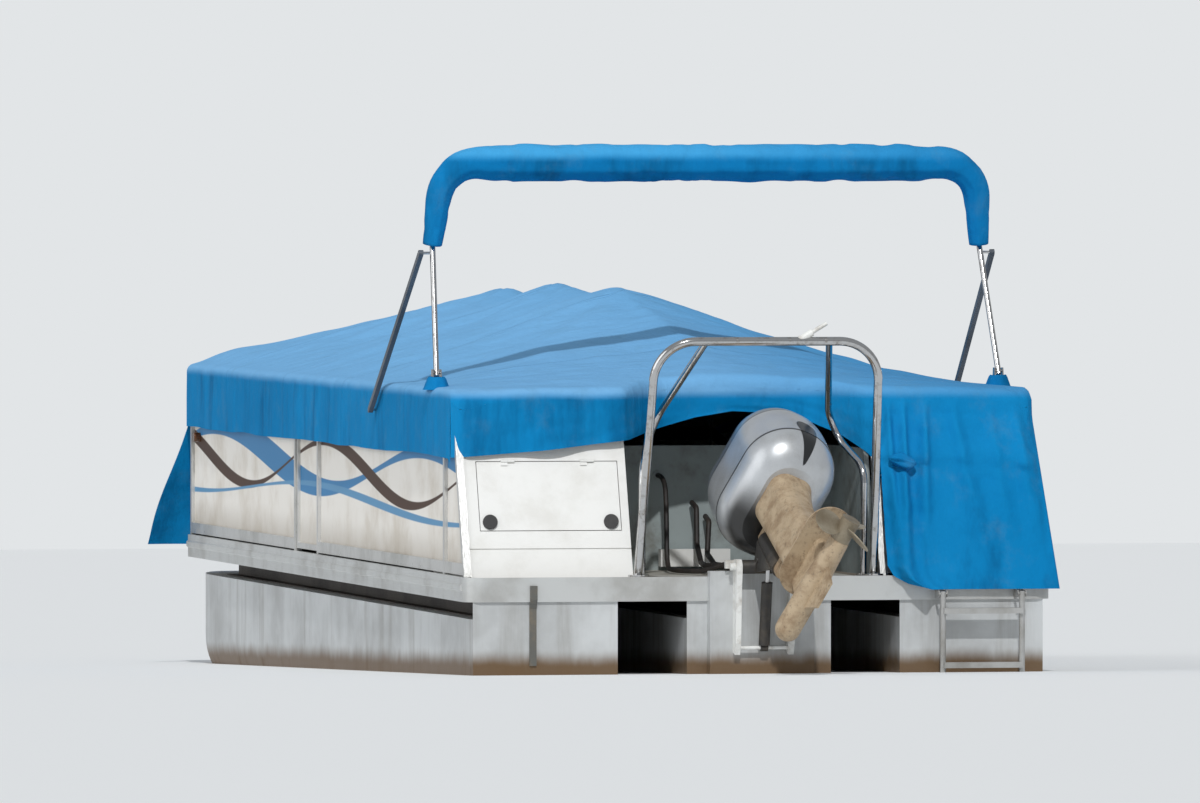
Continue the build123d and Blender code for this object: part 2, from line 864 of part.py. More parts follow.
def rounded_sections(rows, inset):
    """Level faces for a moulding, each smaller by the inset."""
    faces = []
    for height, length, width, aft, corner in rows:
        outline = RectangleRounded(length - 2 * inset, width - 2 * inset, corner - inset)
        faces.append(Pos(-aft, 0, height) * outline)
    return faces


def outboard_pan():
    """The lower cowl under the engine."""
    return stow(loft(rounded_sections(pan_sections, 0)))


def outboard_cowl():
    """The hollow upper cowl, with a rounded top edge."""
    shell = loft(rounded_sections(cowl_sections, 0))
    top = shell.faces().sort_by(Axis.Z)[-1]
    shell = fillet(top.edges(), cowl_fillet)
    crown = cowl_sections[-1]
    lowered = (crown[0] - cowl_crown,) + crown[1:]
    inside = loft(rounded_sections(cowl_sections[:-1] + (lowered,), cowl_wall))
    return stow(shell - inside)


def engine_block():
    """The engine, as one block on the pan."""
    length, width, height = engine_size
    base = pan_sections[-1][0]
    middle = -pan_sections[-1][3]
    return stow(block((middle - length / 2, middle + length / 2), (-width / 2, width / 2),
                      (base, base + height)))


def outboard_leg():
    """The leg below the pan with its two swivel lugs and the king pin."""
    leg = loft(rounded_sections(leg_sections, 0))
    upper = swivel_top + lug_gap_at_swivel
    lower = swivel_bottom - lug_gap_at_swivel - lug_height
    lug_half = king_pin_radius + lug_wall
    rear = -leg_sections[1][3]
    for low in (upper, lower):
        leg += block((rear, -swivel_aft), (-lug_half, lug_half), (low, low + lug_height))
        leg += rod((-swivel_aft, 0, low), (-swivel_aft, 0, low + lug_height), lug_half)
    leg += rod((-swivel_aft, 0, lower), (-swivel_aft, 0, upper + lug_height), king_pin_radius)
    return stow(leg)


def gearcase():
    """The lower unit: plate, strut, torpedo and skeg."""
    plate = Pos(-plate_aft, 0, -plate_depth - plate_thickness) * extrude(
        SlotOverall(plate_length, plate_width), plate_thickness)
    faces = []
    for height, length, width, aft in strut_sections:
        faces.append(Pos(-aft, 0, height) * SlotOverall(length, width))
    case = plate + loft(faces)
    nose = torpedo_tip - torpedo_radius
    side = Polyline((torpedo_tip, 0), (torpedo_end, 0), (torpedo_end, torpedo_tail_radius),
                    (torpedo_end / 2, torpedo_radius), (nose, torpedo_radius))
    diagonal = torpedo_radius * cos(radians(45))
    nose_arc = ThreePointArc((nose, torpedo_radius), (nose + diagonal, diagonal), (torpedo_tip, 0))
    torpedo = revolve(Plane.XZ * make_face(side + nose_arc), Axis.X, 360)
    case += Pos(0, 0, -torpedo_depth) * torpedo
    skeg_outline = ((skeg_root[0], -torpedo_depth), (skeg_tip[0], -skeg_depth), (skeg_tip[1], -skeg_depth),
                    (skeg_root[1], -torpedo_depth))
    case += side_plate(skeg_outline, (-skeg_thickness / 2, skeg_thickness / 2))
    return stow(case)


def propeller():
    """Three twisted blades on a hub."""
    start = torpedo_end - prop_gap
    hub = rod((start, 0, 0), (start - hub_length, 0, 0), prop_hub_radius)
    reach = blade_radius - prop_hub_radius / 2
    blade_face = Plane.XY * Ellipse(blade_chord / 2, reach / 2)
    blade = extrude(blade_face, blade_thickness / 2, both=True)
    blade = Pos(0, prop_hub_radius / 2 + reach / 2, 0) * blade
    blade = Pos(start - hub_length / 2, 0, 0) * Rot(0, 90 - blade_pitch, 0) * blade
    shape = hub
    for step in range(blade_count):
        turned = Rot(360 * step / blade_count, 0, 0) * blade
        shape += turned
    return stow(Pos(0, 0, -torpedo_depth) * shape)


def ram_ends():
    """The ram's lower pin and upper eye with the outboard stowed, in the boat's axes."""
    low = Vector(-ram_pivot_aft, 0, deck_top + ram_pivot_rise)
    angle = radians(stow_tilt)
    eye_x = ram_eye[0] * cos(angle) + ram_eye[1] * sin(angle)
    eye_z = -ram_eye[0] * sin(angle) + ram_eye[1] * cos(angle)
    return low, Vector(-tilt_aft + eye_x, 0, tilt_height + eye_z)


def ram_barrel():
    """The tilt ram's barrel with its lower eye."""
    low, high = ram_ends()
    along = (high - low).normalized()
    barrel = rod(low + along * ram_barrel_foot, low + along * ram_barrel_length, ram_radius)
    barrel += cross_rod(low.X, low.Z, ram_eye_radius, (-ram_eye_radius, ram_eye_radius))
    barrel -= cross_rod(low.X, low.Z, ram_pin_radius + running_clearance, (-ram_radius, ram_radius))
    bore = ram_rod_radius + running_clearance
    return barrel - rod(low + along * ram_rod_hidden, low + along * ram_barrel_length, bore)


def ram_rod():
    """The tilt ram's rod with its upper eye, which lies between the cheeks."""
    low, high = ram_ends()
    along = (high - low).normalized()
    shaft = rod(low + along * (ram_barrel_length - ram_rod_hidden), high, ram_rod_radius)
    reach = cheek_inner - ram_side_gap
    return shaft + cross_rod(high.X, high.Z, ram_eye_radius, (-reach, reach))


def control_cable():
    """The control cable from the bulkhead's gland to the clamp."""
    points = [Vector(*point) for point in rises(cable_route)]
    bends = []
    for before, here, after in zip(points, points[1:], points[2:]):
        first, second = here - before, after - here
        turn = radians(first.get_angle(second))
        bends.append(0.45 * min(first.length, second.length) / tan(turn / 2))
    print("cable bends", [round(bend) for bend in bends])
    return bent_tube(points, bends, cable_radius)


# Ladder


def ladder_lugs():
    """Plates aft of the stern trim that hold the ladder's pins."""
    brackets = []
    for side in (-1, 1):
        middle = ladder_middle + side * ladder_width / 2
        lugs = None
        for face in (-1, 1):
            near = ladder_rail_radius + lug_gap
            start = middle + face * near
            end = middle + face * (near + lug_thickness)
            reach = (min(start, end), max(start, end))
            top = ladder_pivot_z + lug_round
            outline = ((0, riser_top), (0, top), (-ladder_aft, top),
                       (-ladder_aft - lug_round, ladder_pivot_z), (-ladder_aft, ladder_pivot_z - lug_round))
            plate = side_plate(outline, reach)
            lugs = plate if lugs is None else lugs + plate
        outer = ladder_rail_radius + lug_gap + lug_thickness
        lugs += cross_rod(-ladder_aft, ladder_pivot_z, ladder_pin_radius, (middle - outer, middle + outer))
        brackets.append(lugs)
    return brackets


def ladder():
    """Two rails with treads, hung from the pins."""
    half = ladder_width / 2
    shape = None
    for side in (-half, half):
        middle = ladder_middle + side
        rail = rod((-ladder_aft, middle, ladder_bottom),
                   (-ladder_aft, middle, ladder_pivot_z + ladder_rail_top), ladder_rail_radius)
        shape = rail if shape is None else shape + rail
    for height in rung_heights:
        shape += block((-ladder_aft - rung_depth / 2, -ladder_aft + rung_depth / 2),
                       (ladder_middle - half, ladder_middle + half), (height - rung_thickness, height))
    for side in (-half, half):
        middle = ladder_middle + side
        shape -= cross_rod(-ladder_aft, ladder_pivot_z, ladder_pin_radius + running_clearance,
                           (middle - 2 * ladder_rail_radius, middle + 2 * ladder_rail_radius))
    return shape


def sounder_arm():
    """The folded sounder arm that hangs on the port stern plate."""
    face = log_aft - stern_plate_thickness
    aft = face - sounder_thickness
    outline = ((face, sounder_bottom), (aft, sounder_bottom), (aft, trim_bottom - 30),
               (-2 * sounder_thickness, trim_bottom + 10), (-2 * sounder_thickness, deck_top - 30),
               (0, deck_top - 30), (0, trim_bottom), (face, trim_bottom))
    half = sounder_width / 2
    return side_plate(outline, (sounder_place - half, sounder_place + half))


def side_lights():
    """Small side lights on the fence near the bow."""
    height = deck_top + light_rise
    face = fence_face - tube_side / 2
    lamp = rod((light_station, face, height), (light_station, fence_face + light_length, height),
               light_radius)
    return both_sides(lamp)


# Folded top


def top_brackets():
    """Brackets on the top rail for the bow's feet, and studs for its stays."""
    rail_top = deck_top + fence_height
    pivot = deck_top + bow_foot_rise
    inner = bow_foot_half_width - bow_tube_radius - fork_gap
    outer = bow_foot_half_width + bow_tube_radius + fork_gap
    half = bracket_half_length
    head = bracket_head
    x = bow_foot_station
    bracket = block((x - half, x + half), (inner - bracket_plate, outer + bracket_plate),
                    (rail_top, rail_top + bracket_plate))
    for reach in ((inner - bracket_plate, inner), (outer, outer + bracket_plate)):
        outline = ((x - half, rail_top), (x + half, rail_top), (x + head, pivot + head),
                   (x - head, pivot + head))
        bracket += side_plate(outline, reach)
    bracket += cross_rod(x, pivot, stay_pin_radius, (inner - bracket_plate, outer + bracket_plate))
    stud_z = deck_top + stay_foot_rise
    plate = block((stay_foot_station - stud_plate_half, stay_foot_station + stud_plate_half),
                  (fence_face, fence_face + bracket_plate), (stud_z - stud_plate_half, rail_top))
    stud_end = stay_foot_half_width - stay_thickness / 2 - 1
    plate += cross_rod(stay_foot_station, stud_z, stay_pin_radius, (fence_face, stud_end))
    return both_sides(bracket) + both_sides(plate)


def bow_legs():
    """The bow's two legs below the boot, each with its foot eye and the stud for its stay."""
    foot_point = Vector(bow_foot_station, bow_foot_half_width, deck_top + bow_foot_rise)
    top_point = Vector(bow_top_station, bow_top_half_width, deck_top + bow_top_rise)
    along = (top_point - foot_point).normalized()
    leg = rod(foot_point - along * leg_foot, top_point + along * bow_tube_radius, bow_tube_radius) - boot()
    leg -= cross_rod(foot_point.X, foot_point.Z, stay_pin_radius + running_clearance,
                     (foot_point.Y - 2 * bow_tube_radius, foot_point.Y + 2 * bow_tube_radius))
    stud = top_point - along * stay_gap
    leg += cross_rod(stud.X, stud.Z, stay_pin_radius, (stud.Y, stay_top().Y + stay_thickness / 2))
    return both_sides(leg)


def stay_top():
    """Where the port stay hangs on its leg."""
    foot_point = Vector(bow_foot_station, bow_foot_half_width, deck_top + bow_foot_rise)
    top_point = Vector(bow_top_station, bow_top_half_width, deck_top + bow_top_rise)
    along = (top_point - foot_point).normalized()
    stud = top_point - along * stay_gap
    return Vector(stud.X, stay_top_half_width, stud.Z)


def stays():
    """The two flat stays from the bow's legs down to the rail."""
    top_point = stay_top()
    foot_point = Vector(stay_foot_station, stay_foot_half_width, deck_top + stay_foot_rise)
    along = (foot_point - top_point)
    length = along.length
    plane = Plane(origin=top_point, x_dir=along, z_dir=Vector(0, 1, 0).cross(along).cross(along) * -1)
    strap = SlotCenterToCenter(length, stay_width)
    stay = plane * Pos(length / 2, 0, -stay_thickness / 2) * extrude(strap, stay_thickness)
    reach = (stay_top_half_width - stay_width, stay_top_half_width + stay_width)
    stay -= cross_rod(top_point.X, top_point.Z, stay_pin_radius + running_clearance, reach)
    return both_sides(stay)


def boot():
    """The folded canopy in its boot: a fat roll over the bow that tapers to its two ends."""
    end = Vector(bow_top_station, bow_top_half_width, deck_top + bow_top_rise)
    corner = Vector(boot_station, boot_half_width, deck_top + boot_rise)
    shoulder = corner + (end - corner).normalized() * boot_shoulder
    port = [shoulder, corner]
    starboard = [Vector(point.X, -point.Y, point.Z) for point in reversed(port)]
    roll = bent_tube(port + starboard, boot_bend, boot_radius)
    for side in both_sides(tapered_rod(shoulder, end, boot_radius, boot_end_radius)):
        roll += side
    return roll


# Mooring cover


def roof_outline(row, floor):
    """A half section of the roof, from the ridge to the edge: thin, or solid down to a floor."""
    station, ridge, shoulder = row
    edge = deck_top + cover_edge
    low = cover_thickness
    top = ((0, edge + ridge), (cover_rail_lap - cover_shoulder, edge + shoulder), (cover_rail_lap, edge),
           (cover_half_width, edge))
    under = [(y, z - low) for y, z in top]
    if floor is None:
        points = list(top) + under[::-1]
    else:
        points = under + [(cover_half_width, floor), (0, floor)]
    return Plane.YZ.offset(station) * make_face(Polyline(*points, close=True))


def roof(floor=None):
    """The port half of the roof, or of the space under it."""
    rows = [(cover_aft, *ridge_aft), *ridge_stations, (cover_bow, *ridge_bow)]
    return loft([roof_outline(row, floor) for row in rows], ruled=True)


def under_roof():
    """The space under the whole roof, down to the deck."""
    port = roof(floor=deck_top)
    return port + mirror(port, about=Plane.XZ)


def cover_holes():
    """Slits in the cover round the top's brackets and studs."""
    rail_top = deck_top + fence_height
    half = slit_half_length
    slit = block((bow_foot_station - half, bow_foot_station + half),
                 (bow_foot_half_width - slit_inset, cover_half_width + cover_thickness),
                 (rail_top - half, rail_top + half))
    stud = block((stay_foot_station - stud_slit, stay_foot_station + stud_slit),
                 (fence_face, cover_half_width + cover_thickness),
                 (deck_top + stay_foot_rise - stud_slit, rail_top + cover_seat))
    return both_sides(slit) + both_sides(stud)


def cover_tops():
    """The roof's port and starboard halves, cut away round the tow arch."""
    notch = block((cover_aft - 1, notch_station), (-notch_half_width, notch_half_width),
                  (deck_top, deck_top + 2 * fence_height))
    half = roof() - notch
    halves = []
    for side in both_sides(half):
        for hole in cover_holes():
            side -= hole
        halves.append(side)
    return halves


def cover_sides():
    """The skirts down both sides."""
    inner = cover_half_width - cover_thickness
    top = deck_top + cover_edge - cover_thickness
    port = block((cover_aft, cover_bow - cover_thickness), (inner, cover_half_width),
                 (deck_top + hem_rise, top))
    gusset = [(station, deck_top + rise) for station, rise in gusset_profile]
    starboard = mirror(port, about=Plane.XZ) + side_plate(gusset, (-cover_half_width, -inner))
    sides = []
    for side in (port, starboard):
        for hole in cover_holes():
            side -= hole
        sides.append(side)
    return sides


def bow_flap():
    """The apron over the bow, which flares out below the rail, with the gable above it."""
    top = deck_top + cover_edge - cover_thickness
    hem = deck_top + hem_rise
    back = cover_bow - cover_thickness
    # Columns: station of the inner face, half width, height
    levels = ((back, cover_half_width, top), (back, cover_half_width, hem),
              (bow_flap_station - cover_thickness, cover_half_width + bow_flap_flare,
               deck_top + bow_flap_rise))
    faces = []
    for station, half_width, height in levels:
        rectangle = Rectangle(cover_thickness, 2 * half_width)
        faces.append(Pos(station + cover_thickness / 2, 0, height) * rectangle)
    gable = block((back, cover_bow), (-cover_half_width, cover_half_width), (top, deck_top + 2 * fence_height))
    return loft(faces, ruled=True) + (gable & under_roof())


def cover_stern():
    """The cover's aft edge: over the locker, round the tow arch and across behind the motor."""
    t = cover_thickness
    inner = cover_half_width - t
    aft, fore = cover_aft, notch_station
    side = notch_half_width
    floor = deck_top + hem_rise
    high = deck_top + 2 * fence_height
    wall = block((aft, aft + t), (side, inner), (floor, high))
    wall += block((aft, fore), (side, side + t), (floor, high))
    wall += block((fore, fore + t), (-side - t, side + t), (floor, high))
    wall += block((aft, fore), (-side - t, -side), (floor, high))
    hem = [(y, deck_top + rise) for y, rise in stern_hem]
    outline = [(cover_half_width, floor)] + hem
    outline += [(-cover_half_width, hem[-1][1]), (-cover_half_width, high), (cover_half_width, high)]
    above_hem = cross_plate(outline, (aft - 1, fore + t + 1))
    return wall & above_hem & under_roof()


def stern_flap():
    """The apron that hangs over the starboard quarter to the deck's edge."""
    top = deck_top + cover_edge
    turn = deck_top + stern_flap_top
    low = deck_top + stern_flap_rise
    t = cover_thickness
    # Columns: station of the aft face, outer half width, height
    levels = ((cover_aft - t, cover_half_width, top), (cover_aft - t, cover_half_width, turn),
              (stern_flap_station, cover_half_width + stern_flap_flare, low))
    faces = []
    for station, outer, height in levels:
        width = outer - notch_half_width
        middle = -(outer + notch_half_width) / 2
        faces.append(Pos(station + t / 2, middle, height) * Rectangle(t, width))
    return loft(faces, ruled=True)


def boat():
    """Every piece by name."""
    tops = cover_tops()
    pieces = {
        "log_port": Pos(0, log_spacing, 0) * log(),
        "log_centre": log(),
        "log_starboard": Pos(0, -log_spacing, 0) * log(),
        "stern_plates": [Pos(0, y, 0) * stern_plate() for y in (log_spacing, 0, -log_spacing)],
        "bow_eyes": [Pos(0, y, 0) * bow_eye() for y in (log_spacing, 0, -log_spacing)],
        "risers": risers(),
        "cross_channels": cross_channels(),
        "deck": deck(),
        "side_trim": side_trims(),
        "end_trim": end_trims(),
        "fence_port": port_fence(),
        "fence_starboard": starboard_fence(),
        "fence_bow": bow_fence(),
        "fence_stern": stern_fence(),
        "panels_port": port_panels(),
        "panels_starboard": starboard_panels(),
        "panels_bow": bow_panels(),
        "panel_stern": stern_panel(),
        "gate_frame": gate_frame(),
        "gate_panel": gate_panel(),
        "locker": locker(),
        "locker_hatch": hatch(),
        "hatch_latches": hatch_latches(),
        "well_walls": well_walls(),
        "well_floor": well_floor(),
        "tow_arch": tow_arch(),
        "tow_hitch": tow_hitch(),
        "transom": transom(),
        "clamp_bracket": clamp_bracket(),
        "swivel_bracket": swivel_bracket(),
        "outboard_pan": outboard_pan(),
        "outboard_cowl": outboard_cowl(),
        "engine_block": engine_block(),
        "outboard_leg": outboard_leg(),
        "gearcase": gearcase(),
        "propeller": propeller(),
        "tilt_barrel": ram_barrel(),
        "tilt_rod": ram_rod(),
        "control_cable": control_cable(),
        "ladder_lugs": ladder_lugs(),
        "ladder": ladder(),
        "sounder_arm": sounder_arm(),
        "side_lights": side_lights(),
        "top_brackets": top_brackets(),
        "top_legs": bow_legs(),
        "top_stays": stays(),
        "top_boot": boot(),
        "cover_port": tops[0],
        "cover_starboard": tops[1],
        "cover_sides": cover_sides(),
        "cover_bow": bow_flap(),
        "cover_stern": cover_stern(),
        "cover_stern_flap": stern_flap(),
    }
    return pieces


def write(pieces):
    """Moves the boat so that its origin is under its middle, and writes one file for each piece."""
    os.makedirs("parts", exist_ok=True)
    shapes = {}
    for name, piece in pieces.items():
        group = piece if isinstance(piece, list) else [piece]
        shapes[name] = [solid for shape in group for solid in shape.solids()]
    boxes = [solid.bounding_box() for solids in shapes.values() for solid in solids]
    middle_x = (min(box.min.X for box in boxes) + max(box.max.X for box in boxes)) / 2
    middle_y = (min(box.min.Y for box in boxes) + max(box.max.Y for box in boxes)) / 2
    print("middle", round(middle_x, 3), round(middle_y, 3), "bottom", min(box.min.Z for box in boxes),
          "top", max(box.max.Z for box in boxes))
    for name, solids in shapes.items():
        placed = [Pos(-middle_x, -middle_y, 0) * solid for solid in solids]
        shape = placed[0] if len(placed) == 1 else Compound(placed)
        export_step(shape, f"parts/{name}.step")


write(boat())
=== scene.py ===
import json
from math import asin, atan2, cos, exp, hypot, pi, radians, sin, tan

import bpy
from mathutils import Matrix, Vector, noise


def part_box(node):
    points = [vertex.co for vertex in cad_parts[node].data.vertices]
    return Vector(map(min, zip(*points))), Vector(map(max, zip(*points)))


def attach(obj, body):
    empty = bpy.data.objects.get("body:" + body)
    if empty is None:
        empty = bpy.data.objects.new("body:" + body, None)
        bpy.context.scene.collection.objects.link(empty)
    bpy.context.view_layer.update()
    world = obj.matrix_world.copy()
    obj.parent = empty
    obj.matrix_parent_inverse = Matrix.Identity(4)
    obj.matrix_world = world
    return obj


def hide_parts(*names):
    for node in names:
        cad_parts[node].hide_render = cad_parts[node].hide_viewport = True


# A pontoon boat under its mooring cover, dressed round the CAD model.
# Metres. A station is a distance forward of the deck's aft edge, a rise is a height above the
# deck, and y is to port.

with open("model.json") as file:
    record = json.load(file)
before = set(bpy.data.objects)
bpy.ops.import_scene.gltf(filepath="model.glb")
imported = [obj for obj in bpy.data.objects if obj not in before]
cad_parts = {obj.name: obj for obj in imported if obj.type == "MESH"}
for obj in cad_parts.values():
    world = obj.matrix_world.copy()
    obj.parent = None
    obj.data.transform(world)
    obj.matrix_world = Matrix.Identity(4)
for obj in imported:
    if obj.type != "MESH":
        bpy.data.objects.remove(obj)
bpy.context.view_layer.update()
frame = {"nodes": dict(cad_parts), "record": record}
nodes = frame["nodes"]
deck_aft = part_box("end_trim")[0].x
deck_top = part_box("deck")[1].z


def at(station, y, rise):
    """A point in the frame."""
    return Vector((deck_aft + station, y, deck_top + rise))


# View: a long lens, far astern and a little to port. Photo width and focal length are in pixels,
# the sensor's width is in millimetres
camera_distance = 65
camera_azimuth = radians(258)
camera_rise = 1.975
aim = at(0.14, 0.675, 0.76)
photo_width = 1200
photo_focal = 4706
zoom = 3.2
sensor_width = 36
nearest_seen = 1
farthest_seen = 3000

# Water level along the boat, as heights above the bottom of the logs
water_aft = 0.38
water_fore = 0.186
water_fore_station = 7.05
floor_half = 400


def water_height(x):
    """The floor's height at an x value."""
    share = (x - deck_aft) / water_fore_station
    return water_aft + (water_fore - water_aft) * share


# Node materials


class Shader:
    """A material's node tree with short calls for the nodes used here."""

    def __init__(self, name):
        self.material = bpy.data.materials.new(name)
        self.material.use_nodes = True
        self.tree = self.material.node_tree
        self.surface = self.tree.nodes["Principled BSDF"]
        self.place = self.add("ShaderNodeTexCoord").outputs["Object"]

    def add(self, kind):
        return self.tree.nodes.new(kind)

    def link(self, start, end):
        self.tree.links.new(start, end)

    def put(self, socket, value):
        """Sets a socket to a number or colour, or links it."""
        if isinstance(value, bpy.types.NodeSocket):
            self.link(value, socket)
        else:
            socket.default_value = value

    def math(self, operation, first, second=0.0, third=0.0):
        """A number worked out from up to three."""
        node = self.add("ShaderNodeMath")
        node.operation = operation
        for socket, value in zip(node.inputs, (first, second, third)):
            self.put(socket, value)
        return node.outputs[0]

    def gap(self, first, second):
        """How far apart two values are."""
        return self.math("ABSOLUTE", self.math("SUBTRACT", first, second))

    def axes(self):
        """The X, Y and Z of the place."""
        node = self.add("ShaderNodeSeparateXYZ")
        self.link(self.place, node.inputs[0])
        return node.outputs

    def stretched(self, scale):
        """The place, scaled along each axis."""
        node = self.add("ShaderNodeMapping")
        self.link(self.place, node.inputs["Vector"])
        node.inputs["Scale"].default_value = scale
        return node.outputs[0]

    def noise(self, scale, detail=4, rough=0.5, stretch=(1, 1, 1)):
        """Noise over the place, from nought to one."""
        node = self.add("ShaderNodeTexNoise")
        node.inputs["Scale"].default_value = scale
        node.inputs["Detail"].default_value = detail
        node.inputs["Roughness"].default_value = rough
        self.link(self.stretched(stretch), node.inputs["Vector"])
        return node.outputs["Fac"]

    def ramp(self, value, low, high, start=0.0, end=1.0):
        """The value's share between low and high, from start to end."""
        node = self.add("ShaderNodeMapRange")
        node.interpolation_type = "SMOOTHSTEP"
        for socket, number in zip(node.inputs, (value, low, high, start, end)):
            self.put(socket, number)
        return node.outputs[0]

    def within(self, value, full, end, most=1.0):
        """The most while the value is under full, and nothing from end on."""
        return self.ramp(value, full, end, most, 0.0)

    def patches(self, scale, low, high, most=1.0, detail=6, rough=0.6, stretch=(1, 1, 1)):
        """Soft patches: nothing where the noise is under low, and the most where it is over high."""
        return self.ramp(self.noise(scale, detail, rough, stretch), low, high, 0.0, most)

    def mix(self, share, first, second):
        """A colour between two."""
        node = self.add("ShaderNodeMix")
        node.data_type = "RGBA"
        self.put(node.inputs["Factor"], share)
        self.put(node.inputs["A"], first)
        self.put(node.inputs["B"], second)
        return node.outputs["Result"]

    def bump(self, height, distance, strength=1.0):
        """Relief on top of what the surface has already. The distance is in metres."""
        node = self.add("ShaderNodeBump")
        node.inputs["Distance"].default_value = distance
        node.inputs["Strength"].default_value = strength
        self.put(node.inputs["Height"], height)
        if self.surface.inputs["Normal"].is_linked:
            self.link(self.surface.inputs["Normal"].links[0].from_socket, node.inputs["Normal"])
        self.link(node.outputs[0], self.surface.inputs["Normal"])

    def finish(self, colour, roughness, metallic=0.0):
        """Sets the surface's last values and gives the material."""
        self.put(self.surface.inputs["Base Color"], colour)
        self.put(self.surface.inputs["Roughness"], roughness)
        self.put(self.surface.inputs["Metallic"], metallic)
        return self.material


def rgb(red, green, blue):
    """A display colour from 0 to 255 as the linear values that shaders use."""
    linear = []
    for value in (red, green, blue):
        share = value / 255
        linear.append(share / 12.92 if share <= 0.04045 else ((share + 0.055) / 1.055) ** 2.4)
    return (*linear, 1)


def satin_metal(name, colour, dark, roughness, metallic, brushed=(1, 8, 8)):
    """Plain aluminium or steel with faint brushing and stains."""
    look = Shader(name)
    stain = look.patches(3, 0.42, 0.7)
    fine = look.noise(60, detail=3, stretch=brushed)
    look.bump(fine, 0.0006)
    stained = look.mix(stain, colour, dark)
    rough = look.ramp(fine, 0.2, 0.8, roughness - 0.08, roughness + 0.1)
    return look.finish(stained, rough, metallic)


def painted(name, colour, dark, roughness, wear):
    """Paint or gel coat with soft dirt, and a little unevenness."""
    look = Shader(name)
    dirt = look.math("MULTIPLY", look.patches(5, 0.45, 0.75, rough=0.65), wear)
    look.bump(look.noise(180, detail=2), 0.0003)
    rough = look.ramp(look.noise(14), 0.3, 0.7, roughness - 0.05, roughness + 0.12)
    return look.finish(look.mix(dirt, colour, dark), rough)


# Scum on the logs, as heights above the water: all of it up to one, none from the other on
scum_full = 0.065
scum_end = 0.145
scum_ragged = 0.06


def hull_metal():
    """Log metal: dull, streaked down the sides, with scum at the water."""
    look = Shader("log_metal")
    axes = look.axes()
    slope = (water_fore - water_aft) / water_fore_station
    level = look.math("MULTIPLY_ADD", axes[0], -slope, -water_height(0))
    above = look.math("ADD", axes[2], level)
    edge = look.noise(7, detail=5, rough=0.6, stretch=(1, 1, 0.3))
    ragged = look.math("MULTIPLY_ADD", edge, scum_ragged, above)
    scum = look.within(ragged, scum_full, scum_end, 0.95)
    streaks = look.patches(7, 0.44, 0.76, 0.5, rough=0.65, stretch=(1, 1, 0.09))
    dull = look.patches(2.2, 0.35, 0.7, detail=5)
    metal = look.mix(dull, rgb(208, 211, 212), rgb(180, 182, 182))
    streaked = look.mix(streaks, metal, rgb(132, 128, 120))
    colour = look.mix(scum, streaked, rgb(104, 78, 46))
    look.bump(look.noise(70, detail=3, stretch=(1, 1, 0.1)), 0.0006)
    look.bump(look.noise(3, detail=3), 0.006, 0.5)
    return look.finish(colour, look.ramp(streaks, 0, 0.7, 0.45, 0.65), 0.3)


# Columns: mean rise, swing, wave length, phase, half width, its swing, colour
ribbons = ((0.42, 0.11, 5.2, 0.4, 0.040, 0.028, rgb(64, 130, 180)),
           (0.40, 0.12, 4.1, 2.5, 0.020, 0.014, rgb(74, 52, 40)),
           (0.27, 0.05, 6.3, 4.0, 0.012, 0.006, rgb(96, 150, 190)))
ribbon_edge = 0.003
# Grime at the foot of the panels, as rises
grime_full = 0.06
grime_end = 0.2


def panel_paint():
    """Warm white sheet with long ribbons that swell and cross along the side, grimy at its foot."""
    look = Shader("panel_sheet")
    axes = look.axes()
    along = look.math("SUBTRACT", axes[0], deck_aft)
    rise = look.math("SUBTRACT", axes[2], deck_top)
    colour = look.mix(look.patches(3, 0.4, 0.75, detail=5), rgb(240, 236, 229), rgb(216, 208, 196))
    for mean, swing, length, phase, half, half_swing, paint in ribbons:
        angle = look.math("MULTIPLY_ADD", along, 2 * pi / length, phase)
        middle = look.math("MULTIPLY_ADD", look.math("SINE", angle), swing, mean)
        width = look.math("MULTIPLY_ADD", look.math("COSINE", angle), half_swing, half)
        outside = look.math("SUBTRACT", look.gap(rise, middle), width)
        colour = look.mix(look.within(outside, -ribbon_edge, ribbon_edge), colour, paint)
    grime = look.within(rise, grime_full, grime_end, 0.35)
    colour = look.mix(grime, colour, rgb(140, 126, 106))
    look.bump(look.noise(1.4, detail=2), 0.006, 0.4)
    look.surface.inputs["Specular IOR Level"].default_value = 0.15
    return look.finish(colour, 0.5)


# Canvas: the weave, the band of height where sun bleaching and painted light begin, and a seam's lap and
# stitches
thread_spacing = 0.004
bleach_and_light_below = 0.03
bleach_and_light_above = 0.015
bleach_and_light_ragged = 0.02
lap_half = 0.012
lap_end = 0.016
lap_depth = 0.002
stitch_away = 0.010
stitch_half = 0.001
stitch_end = 0.002


